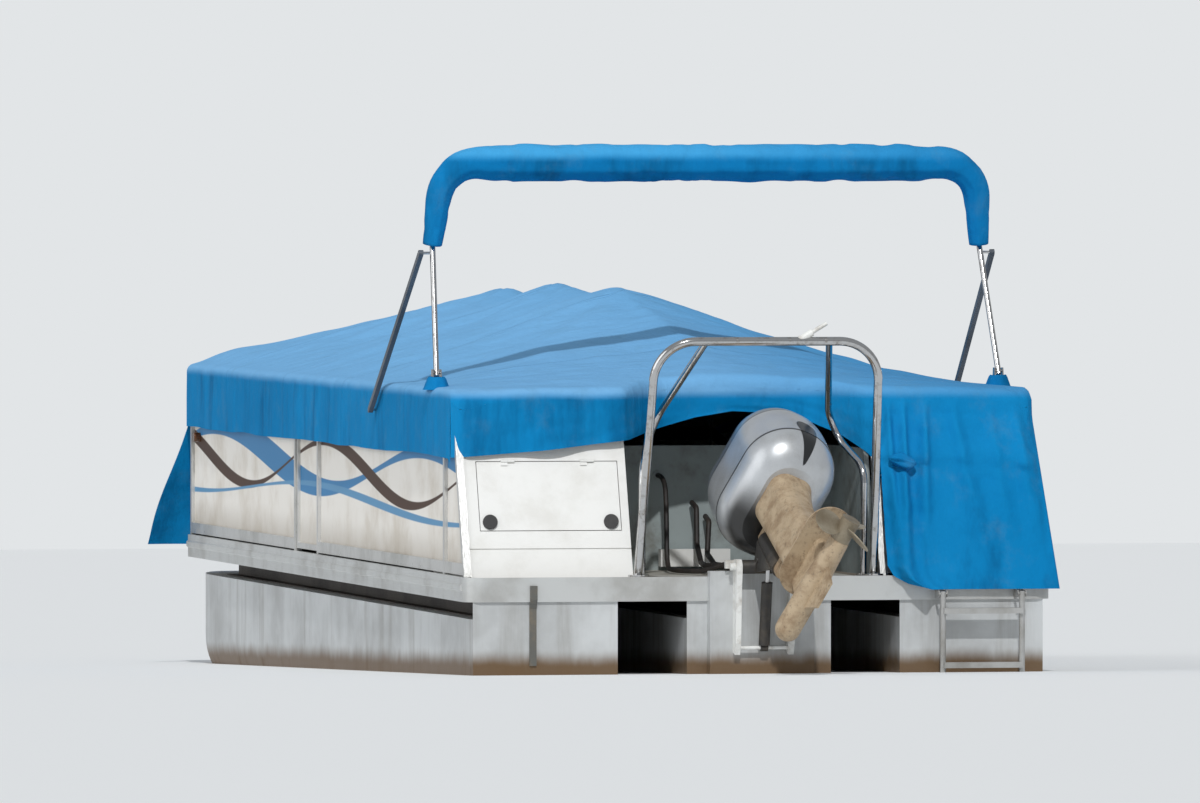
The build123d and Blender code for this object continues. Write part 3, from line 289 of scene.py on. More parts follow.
def canvas(name, colour, faded, fold_shade, bleached_and_lit, bleach_and_light_rise, seams=()):
    """Woven boat canvas with dirt and lapped seams. Above a rise it is sun-bleached and lighter with
    painted light, the painted light stronger to port, and its hanging folds hold painted shade.
    """
    look = Shader(name)
    axes = look.axes()
    fade = look.patches(1.1, 0.35, 0.7, detail=5)
    dust = look.patches(6, 0.5, 0.8, 0.25, rough=0.7)
    hang = look.noise(4.5, detail=5, rough=0.6, stretch=(1, 1, 0.22))
    cloth = look.mix(fade, colour, faded)
    level = look.math("MULTIPLY_ADD", look.noise(2.5, rough=0.6), bleach_and_light_ragged, axes[2])
    high = deck_top + bleach_and_light_rise
    lit_bleached_band = look.ramp(level, high - bleach_and_light_below, high + bleach_and_light_above)
    # Painted shade: the hanging folds darken towards the fold shade colour, less so in the lit, bleached
    # top band
    folds = look.ramp(hang, 0.48, 0.72, 0.0, 0.6)
    shade = look.math("SUBTRACT", 1.0, lit_bleached_band)
    cloth = look.mix(look.math("MULTIPLY", folds, shade), cloth, fold_shade)
    # Painted light: above the rise the cloth turns to its bleached colour, partly real fading and partly
    # painted sheen and highlight, stronger to port
    painted_light_to_port = look.ramp(axes[1], -1.1, 0.4, 0.35, 1.0)
    cloth = look.mix(look.math("MULTIPLY", lit_bleached_band, painted_light_to_port), cloth, bleached_and_lit)
    cloth = look.mix(dust, cloth, rgb(96, 140, 164))
    thread_turn = 2 * pi / thread_spacing
    warp = look.math("SINE", look.math("MULTIPLY", axes[0], thread_turn))
    weft = look.math("SINE", look.math("MULTIPLY", look.math("ADD", axes[1], axes[2]), thread_turn))
    look.bump(look.math("MULTIPLY", warp, weft), 0.0004, 0.5)
    look.bump(look.noise(16, detail=5, rough=0.6), 0.004, 0.5)
    look.bump(look.noise(5, detail=5, rough=0.55, stretch=(1, 0.6, 0.5)), 0.03, 0.7)
    look.bump(hang, 0.03, 0.6)
    for station in seams:
        away = look.gap(axes[0], deck_aft + station)
        lap = look.within(away, lap_half, lap_end)
        stitch = look.within(look.gap(away, stitch_away), stitch_half, stitch_end)
        look.bump(lap, lap_depth)
        cloth = look.mix(look.math("MULTIPLY", stitch, 0.5), cloth, rgb(14, 66, 116))
    look.surface.inputs["Specular IOR Level"].default_value = 0.08
    return look.finish(cloth, 0.85)


def leg_paint():
    """Lower unit paint, dull with dried silt and old growth."""
    look = Shader("leg_paint")
    silt = look.patches(9, 0.38, 0.66, rough=0.7)
    flecks = look.patches(48, 0.56, 0.68, detail=4, rough=0.7)
    colour = look.mix(silt, rgb(178, 158, 130), rgb(140, 118, 92))
    colour = look.mix(look.math("MULTIPLY", flecks, 0.5), colour, rgb(84, 74, 60))
    look.bump(look.noise(60, detail=5, rough=0.7), 0.0025)
    return look.finish(colour, look.ramp(silt, 0, 1, 0.5, 0.8))


def chrome(name):
    """Polished tube with faint water spots."""
    look = Shader(name)
    spots = look.patches(34, 0.5, 0.75, detail=4)
    colour = look.mix(spots, rgb(196, 196, 196), rgb(156, 152, 148))
    return look.finish(colour, look.ramp(spots, 0, 1, 0.12, 0.3), 1.0)


def moulded(name, colour, light, roughness):
    """Moulded plastic or rubber with a fine grain."""
    look = Shader(name)
    look.bump(look.noise(400, detail=2), 0.0004)
    return look.finish(look.mix(look.patches(8, 0.4, 0.75, detail=5), colour, light), roughness)


# The paint turns dark between these y values, for the arm at the port quarter
arm_start = 0.8
arm_full = 0.85


def mount_paint():
    """White bracket paint with grime, and dark grey on the arm at the port quarter."""
    look = Shader("mount_white")
    axes = look.axes()
    grime = look.patches(12, 0.42, 0.72, 0.6, rough=0.65)
    paint = look.mix(look.ramp(axes[1], arm_start, arm_full), rgb(228, 229, 226), rgb(92, 92, 88))
    look.bump(look.noise(180, detail=2), 0.0003)
    return look.finish(look.mix(grime, paint, rgb(126, 112, 92)), 0.45)


# The outboard as it is stowed: turns about its swivel and tilt tubes, and its own places
motor_tilt = radians(68)
motor_steer = radians(25)
swivel_aft = 0.120
tilt_place = at(-0.115, 0, 0.05)
# Heights up the leg from the tilt tube, distances forward of it, and widths
cap_height = 0.43
cap_edge = 0.004
low_seam_height = 0.215
seam_half = 0.003
seam_end = 0.005
# Where the painted shadow on the cowl's foot lies: heights up the leg, then distances forward
foot_full = 0.10
foot_end = 0.16
foot_aft = -0.34
foot_fore = -0.16
scoop_height = 0.20
scoop_half_height = 0.12
scoop_half_width = 0.05
scoop_middle_width = 0.75 * scoop_half_width
scoop_flare = 0.45 * scoop_half_width
scoop_least_width = 0.002
behind_full = -0.44
behind_end = -0.42


def motor_axes(look):
    """The place in the outboard's own directions, from its tilt tube: forward, to port and up the leg."""
    tilt_cos, tilt_sin = cos(motor_tilt), sin(motor_tilt)
    steer_cos, steer_sin = cos(motor_steer), sin(motor_steer)
    fore = Vector((steer_cos * tilt_cos, steer_sin, -steer_cos * tilt_sin))
    port = Vector((-steer_sin * tilt_cos, steer_cos, steer_sin * tilt_sin))
    up = Vector((tilt_sin, 0, tilt_cos))
    swivel = Vector((-swivel_aft * tilt_cos, 0, swivel_aft * tilt_sin))
    axes = look.axes()
    measures = []
    for direction, shift in ((fore, -swivel_aft), (port, 0.0), (up, 0.0)):
        total = -direction.dot(tilt_place + swivel) + shift
        for axis, share in zip(axes, direction):
            total = look.math("MULTIPLY_ADD", axis, share, total)
        measures.append(total)
    return measures


def cowl_lacquer(name):
    """Metallic lacquer with a darker cap, two seams, painted shadow on its foot, painted shade in a scoop
    behind, and dust.
    """
    look = Shader(name)
    fore, port, up = motor_axes(look)
    flakes = look.patches(900, 0.35, 0.65, detail=1, rough=0.5)
    base = look.mix(flakes, rgb(176, 180, 184), rgb(204, 207, 210))
    dust = look.patches(6, 0.45, 0.75, 0.35, detail=5)
    base = look.mix(dust, base, rgb(140, 138, 132))
    cap = look.ramp(up, cap_height, cap_height + cap_edge, 0.0, 0.75)
    base = look.mix(cap, base, rgb(112, 124, 138))
    # Painted shadow: the low, forward part of the cowl is painted near black
    low = look.within(up, foot_full, foot_end)
    foot_shadow = look.math("MULTIPLY", low, look.ramp(fore, foot_aft, foot_fore))
    base = look.mix(foot_shadow, base, rgb(46, 46, 46))
    seam = look.within(look.gap(up, cap_height), seam_half, seam_end)
    low_seam = look.within(look.gap(up, low_seam_height), seam_half, seam_end, 0.8)
    # Painted shade: the scoop's recess behind the cowl is painted dark, with a bump at its edge
    height = look.math("DIVIDE", look.math("SUBTRACT", up, scoop_height), scoop_half_height)
    width = look.math("MULTIPLY_ADD", height, scoop_flare, scoop_middle_width)
    across = look.math("DIVIDE", port, look.math("MAXIMUM", width, scoop_least_width))
    sideways = look.math("POWER", look.math("ABSOLUTE", across), 2.0)
    upwards = look.math("POWER", look.math("ABSOLUTE", height), 4.0)
    reach = look.math("ADD", sideways, upwards)
    behind = look.within(fore, behind_full, behind_end)
    scoop_shade = look.math("MULTIPLY", look.within(reach, 0.9, 1.05), behind)
    # Dark seam lines, and the painted shade of the scoop
    for mark in (seam, low_seam, scoop_shade):
        base = look.mix(mark, base, rgb(38, 40, 42))
    look.bump(look.math("SUBTRACT", 1.0, scoop_shade), 0.01)
    look.surface.inputs["Coat Weight"].default_value = 0.6
    look.surface.inputs["Coat Roughness"].default_value = 0.16
    return look.finish(base, 0.34, 0.5)


def deck_board():
    """Grey ply edge and sheet, stained."""
    look = Shader("deck_board")
    stain = look.patches(2, 0.4, 0.7)
    look.bump(look.noise(90, detail=3), 0.001)
    return look.finish(look.mix(stain, rgb(120, 112, 100), rgb(88, 80, 70)), 0.8)


cover_seams = (1.45, 2.95, 4.45, 5.95)
# Rises above which the canvas is sun-bleached and lighter with painted light
cover_bleach_and_light_rise = 0.80
boot_bleach_and_light_rise = 1.83
materials = {
    "log_metal": hull_metal(),
    # Painted shade: the frame metal's colours are darkened for the channels that sit in shade under the
    # deck
    "frame_metal": satin_metal("frame_metal", rgb(88, 82, 77), rgb(62, 57, 53), 0.6, 0.3),
    "deck_board": deck_board(),
    "trim_metal": satin_metal("trim_metal", rgb(202, 204, 203), rgb(174, 174, 171), 0.42, 0.45,
                              brushed=(0.2, 8, 8)),
    "fence_metal": satin_metal("fence_metal", rgb(206, 206, 204), rgb(178, 178, 174), 0.34, 0.6,
                               brushed=(1, 8, 0.4)),
    "panel_sheet": panel_paint(),
    "locker_shell": painted("locker_shell", rgb(230, 230, 227), rgb(196, 193, 184), 0.4, 0.35),
    "latch_black": moulded("latch_black", rgb(22, 22, 23), rgb(44, 43, 42), 0.5),
    "well_grey": painted("well_grey", rgb(150, 160, 160), rgb(104, 102, 94), 0.55, 0.8),
    "floor_sheet": satin_metal("floor_sheet", rgb(206, 202, 192), rgb(160, 152, 138), 0.5, 0.4),
    "bright_tube": chrome("bright_tube"),
    "mount_white": mount_paint(),
    "mount_dark": painted("mount_dark", rgb(48, 46, 44), rgb(92, 82, 68), 0.5, 0.9),
    "cowl_silver": cowl_lacquer("cowl_silver"),
    "pan_silver": cowl_lacquer("pan_silver"),
    "engine_metal": satin_metal("engine_metal", rgb(50, 50, 50), rgb(30, 30, 30), 0.6, 0.4),
    "leg_paint": leg_paint(),
    "prop_metal": satin_metal("prop_metal", rgb(172, 164, 146), rgb(120, 108, 88), 0.5, 0.4),
    "ram_metal": chrome("ram_metal"),
    "cable_black": moulded("cable_black", rgb(30, 26, 24), rgb(58, 50, 44), 0.6),
    "ladder_metal": satin_metal("ladder_metal", rgb(186, 186, 184), rgb(140, 136, 128), 0.4, 0.6,
                                brushed=(8, 8, 0.5)),
    "lamp_brown": moulded("lamp_brown", rgb(104, 66, 40), rgb(70, 44, 28), 0.25),
    # Painted shade and reflection: the stays' aluminium is coloured dark blue-grey
    "stay_metal": satin_metal("stay_metal", rgb(98, 104, 112), rgb(70, 76, 84), 0.42, 0.5),
    "leg_tube": chrome("leg_tube"),
    # Canvas colours: plain, faded, painted shade in the folds, and bleached with painted light on top
    "cover_blue": canvas("cover_blue", rgb(6, 122, 180), rgb(18, 134, 194), rgb(2, 76, 122),
                         rgb(116, 174, 220), cover_bleach_and_light_rise, cover_seams),
    "boot_blue": canvas("boot_blue", rgb(8, 116, 176), rgb(16, 126, 188), rgb(2, 66, 102),
                        rgb(66, 160, 216), boot_bleach_and_light_rise),
}
slot_of = {row["node"]: row["material_slot"] for row in frame["record"]["subparts"]}
for name, piece in nodes.items():
    piece.data.materials.clear()
    piece.data.materials.append(materials[slot_of[name]])


# Mesh helpers


def make_piece(name, points, faces, slot, body, smooth=True):
    """A mesh piece with a material that rides on a body."""
    mesh = bpy.data.meshes.new(name)
    mesh.from_pydata([tuple(point) for point in points], [], faces)
    mesh.update()
    piece = bpy.data.objects.new(name, mesh)
    bpy.context.scene.collection.objects.link(piece)
    mesh.materials.append(materials[slot])
    for face in mesh.polygons:
        face.use_smooth = smooth
    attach(piece, body)
    return piece


def grid(rows, columns, point, closed=False):
    """Points and faces of a grid. closed joins the last column to the first."""
    points = []
    for row in range(rows + 1):
        for column in range(columns + (0 if closed else 1)):
            points.append(point(row / rows, column / columns))
    across = columns if closed else columns + 1
    faces = []
    for row in range(rows):
        for column in range(columns):
            following = (column + 1) % across
            low, high = row * across, (row + 1) * across
            faces.append((low + column, low + following, high + following, high + column))
    return points, faces


def between(table, value):
    """A value read from rows of two columns, along straight lines."""
    if value <= table[0][0]:
        return table[0][1]
    for (start, low), (end, high) in zip(table, table[1:]):
        if value <= end:
            return low + (high - low) * (value - start) / (end - start)
    return table[-1][1]


def smoothed(table, value, reach):
    """The table's value, averaged over a reach to each side."""
    steps = 4
    total = sum(between(table, value + reach * step / steps) for step in range(-steps, steps + 1))
    return total / (2 * steps + 1)


def clamped(value):
    """The value, kept from nought to one."""
    return min(1.0, max(0.0, value))


def bell(away, half):
    """One at the middle, falling off to each side of it like a bell."""
    return exp(-(away / half) ** 2)


def bumps(x, y, z, scale):
    """Soft noise from minus one to one."""
    return noise.noise(Vector((x, y, z)) * scale)


# Mooring cover


cover_fore = 7.045
cover_edge_rise = 0.811
cover_half = 1.289
cover_hem = 0.515
poles = (3.05, 4.5, 5.8)
# Columns: station, rise above the cover's edge
ridge = ((0.3, 0.008), (0.6, 0.052), (poles[0], 0.414), (3.78, 0.358), (poles[1], 0.408), (5.15, 0.345),
         (poles[2], 0.384), (6.6, 0.300), (7.042, 0.150))
shoulders = ((0.3, 0.002), (0.6, 0.008), (poles[0], 0.052), (3.78, 0.046), (poles[1], 0.055), (5.15, 0.050),
             (poles[2], 0.064), (6.6, 0.085), (7.042, 0.060))
shoulder_half = 1.10
rail_half = 1.257
rail_radius = cover_half - rail_half
# Reach over which the ridge, the shoulders and the section are rounded off
ridge_blend = 0.09
shoulder_blend = 0.15
section_blend = 0.05
# Creases that fan out from the poles, the roof's slack and its wrinkles
pole_cap = 0.05
crease_depth = 0.036
crease_count = 10
crease_fade = 1.5
slack_depth = 0.014
wrinkle_depth = 0.007
# The cloth is tight this near to the rail, and where the ridge is this low
tight_width = 0.3
tight_rise = 0.1
# Columns: y, station of the roof's aft edge
aft_plan = ((0.0, 0.60), (0.30, 0.59), (0.38, 0.55), (0.45, 0.44), (0.50, 0.36), (0.53, 0.318),
            (0.60, 0.305), (0.70, 0.300), (1.16, 0.297), (1.22, 0.302), (1.262, 0.322), (cover_half, 0.365))
aft_radius = 0.05
aft_rows = 6
cover_rows = 210
cover_columns = 150
# Shares of half the section that go to the roof, and of the rest that go round the rail
roof_part = 0.7
rail_part = 0.3
# The cover sinks past the fence's raked ends. Columns: y, share of the droop
rake_start = 0.41
rake_length = 0.11
droop_depth = 0.055
droop_across = ((1.0, 0.0), (1.15, 0.3), (cover_half, 1.0))
# Columns: station, half width and depth of a fold that hangs down the side skirts
side_folds = ((0.52, 0.05, 0.005), (0.74, 0.03, 0.006), (1.02, 0.05, 0.007), (1.30, 0.04, 0.005),
              (1.58, 0.07, 0.007), (1.86, 0.04, 0.005), (2.42, 0.06, 0.006), (2.75, 0.04, 0.005),
              (3.3, 0.09, 0.007), (3.9, 0.05, 0.006), (4.4, 0.08, 0.007), (5.0, 0.05, 0.005),
              (5.45, 0.07, 0.007), (6.05, 0.05, 0.006), (6.6, 0.08, 0.007))
side_ripple = 0.003
# The folds are shifted aft to port and forward to starboard, and grow over a depth below the rail
side_shift = 0.3
fold_growth = 0.12
side_hem_wave = 0.010


def roof_rise(station, y):
    """The cover's rise over the deck: peaks over the poles, with creases that run down from them."""
    away = abs(y)
    top = smoothed(ridge, station, ridge_blend)
    side = smoothed(shoulders, station, shoulder_blend)
    rise = smoothed(((0, top), (shoulder_half, side), (rail_half, 0.0)), away, section_blend)
    creases = 0.0
    for pole in poles:
        reach = hypot(station - pole, y)
        angle = atan2(station - pole, away + pole_cap)
        turn = crease_count * angle + 2 * pole + bumps(station, y, pole, scale=1.2)
        creases += crease_depth * sin(turn) * reach * exp(-crease_fade * reach)
    creases += slack_depth * bumps(station, y * 0.5, 1.0, scale=1.8)
    creases += wrinkle_depth * bumps(station * 1.4, y, 4.0, scale=6.0)
    loose = clamped((rail_half - away) / tight_width) * clamped(top / tight_rise)
    return cover_edge_rise + rise + creases * loose


def corner_droop(station, y):
    """How far the cover sinks past the fence's raked ends, at the two stern corners."""
    past = clamped((rake_start - station) / rake_length)
    return droop_depth * past * between(droop_across, abs(y))


def cover_section(share):
    """Half of the section, from the ridge to the hem: y, depth below the roof, share of roof."""
    if share < roof_part:
        return share / roof_part * rail_half, 0.0, 1.0
    turn = (share - roof_part) / (1 - roof_part)
    if turn < rail_part:
        angle = turn / rail_part * pi / 2
        return rail_half + rail_radius * sin(angle), rail_radius * (1 - cos(angle)), 1 - turn / rail_part
    drop = (turn - rail_part) / (1 - rail_part)
    return cover_half, rail_radius + (cover_edge_rise - rail_radius - cover_hem) * drop, 0.0


def side_fold(station):
    """How far the side skirts stand out in folds at a station."""
    out = sum(depth * bell(station - middle, half) for middle, half, depth in side_folds)
    return out + side_ripple * (0.5 + 0.5 * bumps(station, 0.0, 6.0, scale=2.5))


def cover_point(along, across):
    """A point on the main sheet. Its first rows turn down over the aft edge."""
    row = along * cover_rows
    side = 1 if across >= 0.5 else -1
    y, below, roof_share = cover_section(abs(across - 0.5) * 2)
    start = between(aft_plan, y)
    if row < aft_rows:
        angle = (1 - row / aft_rows) * pi / 2
        station = start + aft_radius * (1 - sin(angle))
        below += aft_radius * (1 - cos(angle)) * roof_share
    else:
        share = (row - aft_rows) / (cover_rows - aft_rows)
        station = start + aft_radius + (cover_fore - start - aft_radius) * share
    rise = roof_rise(station, y) - below - corner_droop(station, y)
    if roof_share == 0:
        loose = clamped((below - rail_radius) / fold_growth)
        y += side_fold(station + side_shift * side) * loose
        rise += side_hem_wave * bumps(station, side * 3.0, 2.0, scale=1.9) * loose
    return at(station, side * y, rise)


def aft_edge(y):
    """The station and rise of the main sheet's aft edge."""
    away = abs(y)
    station = between(aft_plan, away)
    angle = asin(clamped((away - rail_half) / rail_radius))
    below = rail_radius * (1 - cos(angle))
    roof_share = 1 - angle / (pi / 2)
    rise = roof_rise(station, away) - below - aft_radius * roof_share
    return station, rise - corner_droop(station, away)


def mooring_cover():
    """The main sheet, from hem to hem over the ridge."""
    points, faces = grid(cover_rows, cover_columns, cover_point)
    piece = make_piece("cover_main", points, faces, "cover_blue", "hull")
    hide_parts("cover_port", "cover_starboard", "cover_sides")


# Stern skirt, from the port corner to its end beyond the motor. Columns: share along it, y
skirt_end = -0.62
skirt_run = ((0, cover_half), (0.02, 1.262), (0.05, 1.22), (0.08, 1.16), (1, skirt_end))
# Columns: y, rise of the hem across the stern
stern_hem = ((skirt_end, 0.44), (-0.55, 0.524), (-0.45, 0.609), (-0.27, 0.695), (0.0, 0.708), (0.16, 0.682),
             (0.34, 0.631), (0.51, 0.590), (0.90, 0.545), (cover_half, cover_hem))
skirt_tight_width = 0.12
skirt_fold_pace = 15
skirt_fold_depth = 0.022
skirt_wrinkle_depth = 0.012
skirt_rows = 16
skirt_columns = 170


def stern_skirt_point(down, along):
    """A point on the skirt across the stern, from the port corner round the motor."""
    y = between(skirt_run, along)
    station, top = aft_edge(y)
    rise = top + (between(stern_hem, y) - top) * down
    loose = clamped((cover_half - y) / skirt_tight_width) * down
    folds = 0.5 + 0.5 * sin(skirt_fold_pace * y + 3 * bumps(y, 0, 3, scale=1.5))
    wrinkles = bumps(y, down, 8.0, scale=4.0)
    station -= (skirt_fold_depth * folds + skirt_wrinkle_depth * wrinkles) * loose
    return at(station, y, rise)


def stern_skirt():
    """The skirt round the stern."""
    points, faces = grid(skirt_rows, skirt_columns, stern_skirt_point)
    piece = make_piece("cover_stern_skirt", points, faces, "cover_blue", "hull")
    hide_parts("cover_stern")


# Quarter apron. Columns: share down it, y of its inner edge and of its outer edge
apron_inner = ((0, 0.60), (0.3, 0.58), (0.9, 0.565), (0.96, 0.59), (1, 0.65))
apron_outer = ((0, cover_half), (0.12, cover_half), (1, 1.325))
# Columns: share across it, rise of the hem
apron_hem = ((0, -0.03), (0.12, -0.055), (0.9, -0.055), (1, -0.02))
apron_hem_station = -0.034
# Columns: share down it, share of the way from the roof's edge to the hem's station
apron_lean = ((0, 0), (0.08, 0.02), (1, 1))
# From this share across, it turns the corner. Columns: rise, station of its far edge there
apron_turn = 0.86
apron_far_edge = ((0.0, 0.05), (0.38, 0.35), (cover_hem, 0.40))
# That edge stays at least this far forward of the roof's aft edge
apron_overlap = 0.02
# Columns: place across at the top, the same at the hem, half width, depth of a fold
apron_folds = ((0.05, 0.08, 0.030, 0.034), (0.15, 0.11, 0.034, 0.054), (0.29, 0.22, 0.040, 0.044),
               (0.46, 0.62, 0.060, 0.030), (0.70, 0.76, 0.050, 0.018), (0.88, 0.92, 0.060, 0.034))
# The folds' width at the top and what it gains on the way down, as shares of the half width
fold_top_width = 0.6
fold_widening = 0.7
# The folds start below the top edge, and are weaker beside the corner
folds_down = 0.15
corner_width = 0.08
corner_least = 0.3
# Beside the ladder the cloth lies calm. Share across and down where that starts, and over how much
calm_across = 0.16
calm_across_reach = 0.08
calm_down = 0.5
calm_down_reach = 0.3
calm_share = 0.95
# A seam gathers the folds, and the cloth puffs out above it. Shares down, and the puff's depth
apron_seam = 0.36
gather_half = 0.03
gather_share = 0.45
puff_above = 0.07
puff_half = 0.06
puff_depth = 0.016
apron_slack = 0.014
apron_wrinkle = 0.006
apron_rows = 90
apron_columns = 110


def apron_out(down, across, face):
    """How far the quarter apron stands out in folds, puffs and wrinkles."""
    out = 0.0
    for top_place, low_place, half, depth in apron_folds:
        middle = top_place + (low_place - top_place) * down
        out += depth * bell(face - middle, half * (fold_top_width + fold_widening * down))
    out *= 1 - gather_share * bell(down - apron_seam, gather_half)
    out += puff_depth * bell(down - apron_seam + puff_above, puff_half)
    slack = apron_slack * bumps(across * 2, down * 2, 5, scale=2.6)
    out += slack + apron_wrinkle * bumps(across * 2, down * 2, 9, scale=9.0)
    loose = min(1.0, down / folds_down) * min(1.0, (1 - face) / corner_width + corner_least)
    by_ladder = clamped((face - calm_across) / calm_across_reach)
    by_ladder *= clamped((down - calm_down) / calm_down_reach)
    return out * (loose * (1 - calm_share * by_ladder))


def stern_apron_point(down, across):
    """A point on the apron over the starboard quarter, which hangs in folds and turns its outer corner."""
    inner = between(apron_inner, down)
    outer = between(apron_outer, down)
    face = min(1.0, across / apron_turn)
    y = inner + (outer - inner) * face
    start, top = aft_edge(min(y, cover_half))
    rise = top + (between(apron_hem, across) - top) * down
    station = start + (apron_hem_station - start) * between(apron_lean, down)
    if across > apron_turn:
        wrap = (across - apron_turn) / (1 - apron_turn)
        far_edge = max(between(apron_far_edge, rise), start + apron_overlap)
        return at(station + (far_edge - station) * wrap, -y, rise)
    return at(station - apron_out(down, across, face), -y, rise)


def stern_apron():
    """The apron over the starboard quarter."""
    points, faces = grid(apron_rows, apron_columns, stern_apron_point)
    piece = make_piece("cover_stern_apron", points, faces, "cover_blue", "hull")
    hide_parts("cover_stern_flap")


# Bow apron. Columns: rise, half width
bow_hem = -0.05
bow_half = ((bow_hem, 1.455), (cover_hem, cover_half))
# Columns: rise, station
bow_station = ((bow_hem, 7.335), (cover_hem, 7.052), (0.80, 7.046), (1.3, cover_fore))
flare_top = 0.6
bow_folds = 6.5
bow_fold_depth = 0.02
bow_edge_wave = 0.03
bow_rows = 50
bow_columns = 130


def bow_apron_point(down, across):
    """A point on the apron over the bow, from the roof's end down to a flared hem."""
    share = 2 * across - 1
    side = 1 if share > 0 else -1
    top_y = cover_half * abs(share)
    angle = asin(clamped((top_y - rail_half) / rail_radius))
    top = roof_rise(cover_fore, top_y) - rail_radius * (1 - cos(angle))
    rise = top + (bow_hem - top) * down
    flare = clamped((flare_top - rise) / flare_top)
    folds = sin(2 * pi * across * bow_folds + 1.5 * bumps(across * 3, down, 7, scale=1.7))
    station = between(bow_station, rise) + bow_fold_depth * flare * (folds - 1)
    wave = bow_edge_wave * flare * (0.5 - 0.5 * sin(9 * rise)) * side * abs(share) ** 6
    return at(station, between(bow_half, rise) * share - wave, rise)


def bow_apron():
    """The apron over the bow."""
    points, faces = grid(bow_rows, bow_columns, bow_apron_point)
    piece = make_piece("cover_bow_apron", points, faces, "cover_blue", "hull")
    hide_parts("cover_bow")


# The folded top's feet
leg_station = 0.87
leg_y = 1.255
# Columns: rise, radius of a collar
collar_profile = ((0.800, 0.078), (0.812, 0.070), (0.830, 0.062), (0.848, 0.054), (0.857, 0.046),
                  (0.852, 0.034))
# The collar's length along the boat and width across it, as shares of the radius
collar_long = 1.1
collar_wide = 0.75
collar_pleats = 7
pleat_depth = 0.005
collar_wave = 0.004
collar_columns = 28


def leg_collars():
    """Gathered collars of the cover round the folded top's two feet."""
    rows = len(collar_profile) - 1

    def collar_point(side):
        def point(along, turn):
            rise, radius = collar_profile[round(along * rows)]
            angle = 2 * pi * turn
            radius += pleat_depth * sin(collar_pleats * angle + side) * (1 - along)
            rise += collar_wave * bumps(cos(angle), sin(angle), side, scale=1.5) * along
            station = leg_station + collar_long * radius * cos(angle)
            return at(station, side * leg_y + collar_wide * radius * sin(angle), rise)
        return point

    for name, side in (("port", 1), ("starboard", -1)):
        points, faces = grid(rows, collar_columns, collar_point(side), closed=True)
        make_piece(f"cover_collar_{name}", points, faces, "boot_blue", "hull")


# The knot's place and half size, as station, y and rise
knot_place = (0.150, -0.665, 0.497)
knot_size = (0.030, 0.062, 0.026)
knot_twist = 0.22
knot_lumps = 0.15
knot_slope = 0.012
knot_rows = 16
knot_columns = 24


def tie_knot():
    """The knotted corner of cloth where the skirt and the apron meet."""
    def knot_point(along, turn):
        polar, angle = pi * along, 2 * pi * turn
        lumps = 1 + knot_twist * sin(3 * polar + 2 * angle) + knot_lumps * sin(5 * angle)
        reach = sin(polar) * lumps
        return at(knot_place[0] + knot_size[0] * reach * cos(angle),
                  knot_place[1] + knot_size[1] * cos(polar),
                  knot_place[2] + knot_size[2] * reach * sin(angle) + knot_slope * cos(polar))

    points, faces = grid(knot_rows, knot_columns, knot_point, closed=True)
    make_piece("cover_tie_knot", points, faces, "boot_blue", "hull")


mooring_cover()
tie_knot()
stern_skirt()
stern_apron()
bow_apron()
leg_collars()


# Folded top


boot_radius = 0.085
boot_end_radius = 0.046
boot_taper = 0.19
boot_bend = 0.17
# Columns: station, y and rise
boot_corners = ((1.12, 1.225, 1.43), (1.05, 1.19, 1.787), (1.05, -1.19, 1.787), (1.12, -1.225, 1.43))
boot_spacing = 0.012
boot_sides = 40
# Relief of the roll's skin: swells, lumps, creases, a lap and a seam. The inset is the same all over
boot_swells = 9
swell_depth = 0.005
lump_depth = 0.004
boot_crease_depth = 0.010
boot_lap_depth = 0.006
boot_seam_depth = 0.005
boot_inset = 0.003
# Angles round the roll: where the lap starts, begins to end and is over, and the seam
lap_start = 3.2
lap_fall = 3.5
lap_over = 3.6
lap_fall_reach = 0.08
seam_angle = 4.4
seam_angle_half = 0.10
# The share of that relief that is left at the roll's ends
end_relief = 0.4


def rounded_path(corners, bend, spacing):
    """Points along straight runs joined by arcs, about evenly spaced."""
    path = [corners[0]]
    for before, here, after in zip(corners, corners[1:], corners[2:]):
        back = (before - here).normalized()
        ahead = (after - here).normalized()
        half = back.angle(ahead) / 2
        reach = bend / tan(half)
        middle = here + (back + ahead).normalized() * bend / sin(half)
        start, end = here + back * reach, here + ahead * reach
        steps = 12
        for step in range(steps + 1):
            share = step / steps
            straight = start.lerp(end, share) - middle
            path.append(middle + straight.normalized() * bend)
    path.append(corners[-1])
    even = [path[0]]
    for start, end in zip(path, path[1:]):
        count = max(1, int((end - start).length / spacing))
        for step in range(1, count + 1):
            even.append(start.lerp(end, step / count))
    return even


def tube_rings(path, radius_at, sides):
    """Points and faces of a tube round a path. radius_at takes the share along and the angle round."""
    points = []
    side = Vector((1, 0, 0))
    for index, here in enumerate(path):
        before = path[max(0, index - 1)]
        after = path[min(len(path) - 1, index + 1)]
        along = (after - before).normalized()
        side = (side - along * side.dot(along)).normalized()
        up = along.cross(side)
        for step in range(sides):
            angle = 2 * pi * step / sides
            radius = radius_at(index / (len(path) - 1), angle)
            points.append(here + side * cos(angle) * radius + up * sin(angle) * radius)
    faces = []
    for ring in range(len(path) - 1):
        for step in range(sides):
            following = (step + 1) % sides
            low, high = ring * sides, (ring + 1) * sides
            faces.append((low + step, low + following, high + following, high + step))
    faces.append(tuple(reversed(range(sides))))
    last = (len(path) - 1) * sides
    faces.append(tuple(range(last, last + sides)))
    return points, faces


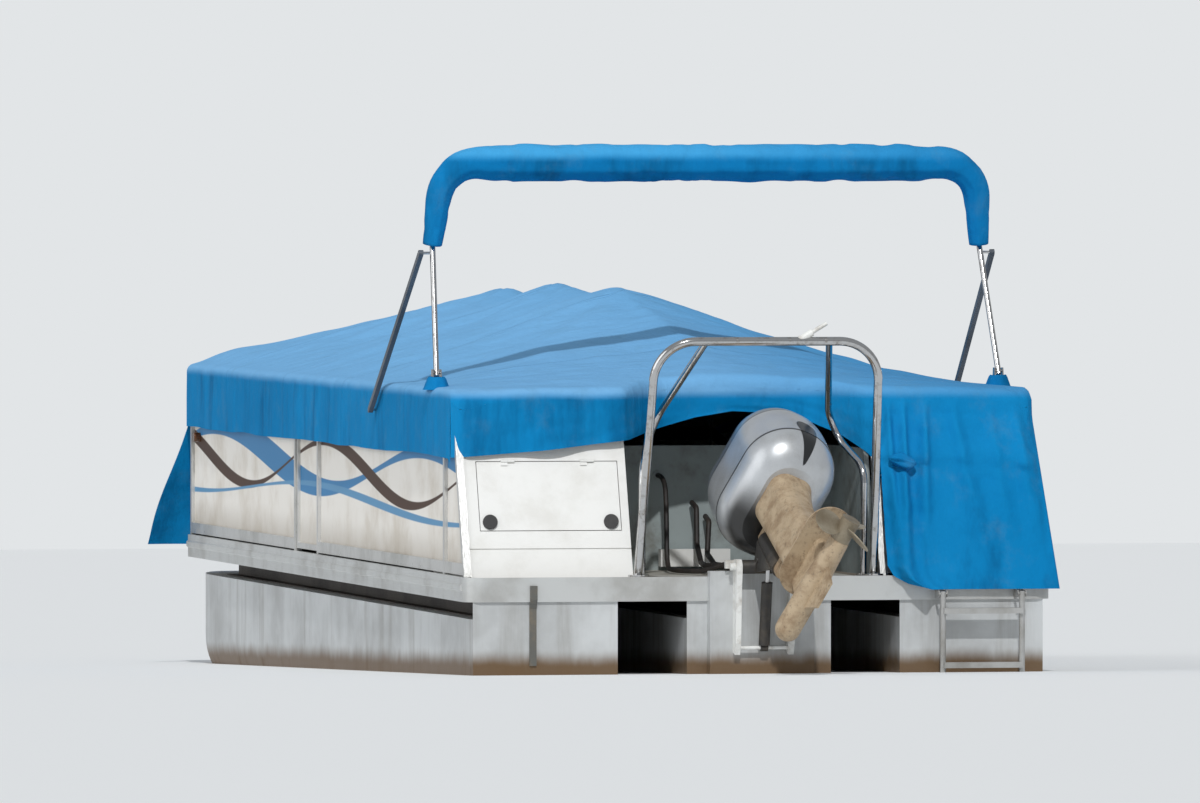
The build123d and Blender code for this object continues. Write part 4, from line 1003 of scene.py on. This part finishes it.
def boot_size(along, angle):
    """The roll's radius: lumpy over the folded canopy, with a lap along it, drawn in at its ends."""
    share = clamped(min(along, 1 - along) / boot_taper)
    radius = boot_end_radius + (boot_radius - boot_end_radius) * share
    x, y = cos(angle), sin(angle)
    rolling = sin(2 * pi * along * boot_swells + 1.4 * sin(3 * angle))
    relief = swell_depth * rolling * bumps(along * 6, x, y, scale=1.3)
    relief += lump_depth * bumps(along * 26, x, y, scale=1.0)
    relief -= boot_crease_depth * max(0.0, bumps(along * 44, 1.5 * x, 1.5 * y, scale=1.0))
    if lap_start < angle < lap_over:
        relief += boot_lap_depth * (1 - clamped((angle - lap_fall) / lap_fall_reach))
    relief -= boot_seam_depth * bell(angle - seam_angle, seam_angle_half)
    return radius + relief * (end_relief + (1 - end_relief) * share) - boot_inset


def folded_top():
    """The boot round the folded canopy."""
    corners = [at(*corner) for corner in boot_corners]
    path = rounded_path(corners, boot_bend, boot_spacing)
    points, faces = tube_rings(path, boot_size, boot_sides)
    piece = make_piece("top_boot_cloth", points, faces, "boot_blue", "folded_top")
    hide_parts("top_boot")


folded_top()


# Control cable


# Columns: station, y and rise
cable_route = ((0.968, 0.250, 0.420), (0.810, 0.250, 0.420), (0.720, 0.262, 0.250),
               (0.650, 0.275, 0.024), (0.470, 0.288, 0.020), (0.300, 0.262, 0.020),
               (0.150, 0.205, 0.024), (0.030, 0.150, 0.060), (-0.060, 0.150, 0.060))
cable_radius = 0.011


def control_cable():
    """The control cable as one smooth curve."""
    curve = bpy.data.curves.new("control_cable_line", "CURVE")
    curve.dimensions = "3D"
    curve.bevel_depth = cable_radius
    curve.bevel_resolution = 4
    curve.resolution_u = 16
    curve.use_fill_caps = True
    spline = curve.splines.new("NURBS")
    spline.points.add(len(cable_route) - 1)
    for point, place in zip(spline.points, cable_route):
        point.co = (*at(*place), 1)
    spline.order_u = 3
    spline.use_endpoint_u = True
    piece = bpy.data.objects.new("control_cable_line", curve)
    bpy.context.scene.collection.objects.link(piece)
    curve.materials.append(materials["cable_black"])
    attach(piece, "hull")
    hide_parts("control_cable")
    at(*cable_route[0])


control_cable()


# Well


# Columns: station, y and rise
hose_runs = (((0.955, 0.10, 0.30), (0.86, 0.10, 0.28), (0.80, 0.11, 0.12), (0.66, 0.12, 0.045),
              (0.34, 0.17, 0.042), (0.16, 0.14, 0.05), (0.08, 0.10, 0.03)),
             ((0.955, 0.04, 0.24), (0.88, 0.04, 0.22), (0.82, 0.06, 0.08), (0.62, 0.07, 0.04),
              (0.36, 0.08, 0.04), (0.20, 0.03, 0.05), (0.10, 0.03, 0.03)))
hose_radius = 0.012
hose_bend = 0.03
hose_spacing = 0.01
hose_sides = 12
ledge_low = (0.90, -0.06, 0.022)
ledge_high = (0.955, 0.25, 0.098)


def well_hoses():
    """Two dark hoses from the bulkhead along the well's floor."""
    for number, run in enumerate(hose_runs, 1):
        path = rounded_path([at(*place) for place in run], hose_bend, hose_spacing)
        points, faces = tube_rings(path, lambda along, angle: hose_radius, hose_sides)
        make_piece(f"well_hose_{number}", points, faces, "cable_black", "hull")


def well_ledge():
    """A white moulded ledge at the foot of the bulkhead."""
    low, high = at(*ledge_low), at(*ledge_high)
    points = [(x, y, z) for x in (low.x, high.x) for y in (low.y, high.y) for z in (low.z, high.z)]
    faces = [(0, 1, 3, 2), (4, 6, 7, 5), (0, 4, 5, 1), (2, 3, 7, 6), (0, 2, 6, 4), (1, 5, 7, 3)]
    make_piece("well_ledge", points, faces, "locker_shell", "hull", smooth=False)


well_hoses()
well_ledge()


# Stage


floor_colour = rgb(238, 240, 241)
floor_roughness = 0.9
backdrop_colour = rgb(226, 229, 231)
sky_colour = rgb(240, 244, 248)
sky_strength = 0.42
# Columns: name, direction that the light comes from, strength, width in degrees
lights = (("key", (-0.71, 0.12, 0.69), 1.9, 1.5),
          ("fill", (-0.25, 1.0, 0.35), 0.8, 50))


def make_floor():
    """The pale floor at the water's level."""
    corners = []
    for x, y in ((-1, -1), (1, -1), (1, 1), (-1, 1)):
        place_x = x * floor_half
        corners.append((place_x, y * floor_half, water_height(place_x)))
    mesh = bpy.data.meshes.new("floor")
    mesh.from_pydata(corners, [], [(0, 1, 2, 3)])
    floor_piece = bpy.data.objects.new("floor", mesh)
    bpy.context.scene.collection.objects.link(floor_piece)
    mesh.materials.append(Shader("floor").finish(floor_colour, floor_roughness))


def make_camera():
    """The camera at the photograph's viewing angle, nearer by its lens alone."""
    data = bpy.data.cameras.new("camera")
    data.sensor_width = sensor_width
    data.lens = data.sensor_width * photo_focal * zoom / photo_width
    data.clip_start = nearest_seen
    data.clip_end = farthest_seen
    camera = bpy.data.objects.new("camera", data)
    back = Vector((sin(camera_azimuth), -cos(camera_azimuth), 0)) * camera_distance
    camera.location = at(0, 0, camera_rise) + back
    camera.rotation_mode = "QUATERNION"
    camera.rotation_quaternion = (aim - camera.location).to_track_quat("-Z", "Y")
    bpy.context.scene.collection.objects.link(camera)
    bpy.context.scene.camera = camera


def make_light(name, direction, strength, width):
    """A soft sun from a direction."""
    data = bpy.data.lights.new(name, "SUN")
    data.energy = strength
    data.angle = radians(width)
    light = bpy.data.objects.new(name, data)
    light.rotation_mode = "QUATERNION"
    light.rotation_quaternion = Vector(direction).to_track_quat("Z", "Y")
    bpy.context.scene.collection.objects.link(light)


def make_world():
    """Even pale surroundings: one colour where the camera sees them, another for their light."""
    world = bpy.data.worlds.new("studio")
    world.use_nodes = True
    tree = world.node_tree
    tree.nodes.clear()
    seen = tree.nodes.new("ShaderNodeBackground")
    seen.inputs["Color"].default_value = backdrop_colour
    light = tree.nodes.new("ShaderNodeBackground")
    light.inputs["Color"].default_value = sky_colour
    light.inputs["Strength"].default_value = sky_strength
    path = tree.nodes.new("ShaderNodeLightPath")
    choice = tree.nodes.new("ShaderNodeMixShader")
    output = tree.nodes.new("ShaderNodeOutputWorld")
    tree.links.new(path.outputs["Is Camera Ray"], choice.inputs["Fac"])
    tree.links.new(light.outputs[0], choice.inputs[1])
    tree.links.new(seen.outputs[0], choice.inputs[2])
    tree.links.new(choice.outputs[0], output.inputs["Surface"])
    bpy.context.scene.world = world


make_floor()
make_camera()
for light in lights:
    make_light(*light)
make_world()
bpy.context.scene.view_settings.view_transform = "Standard"
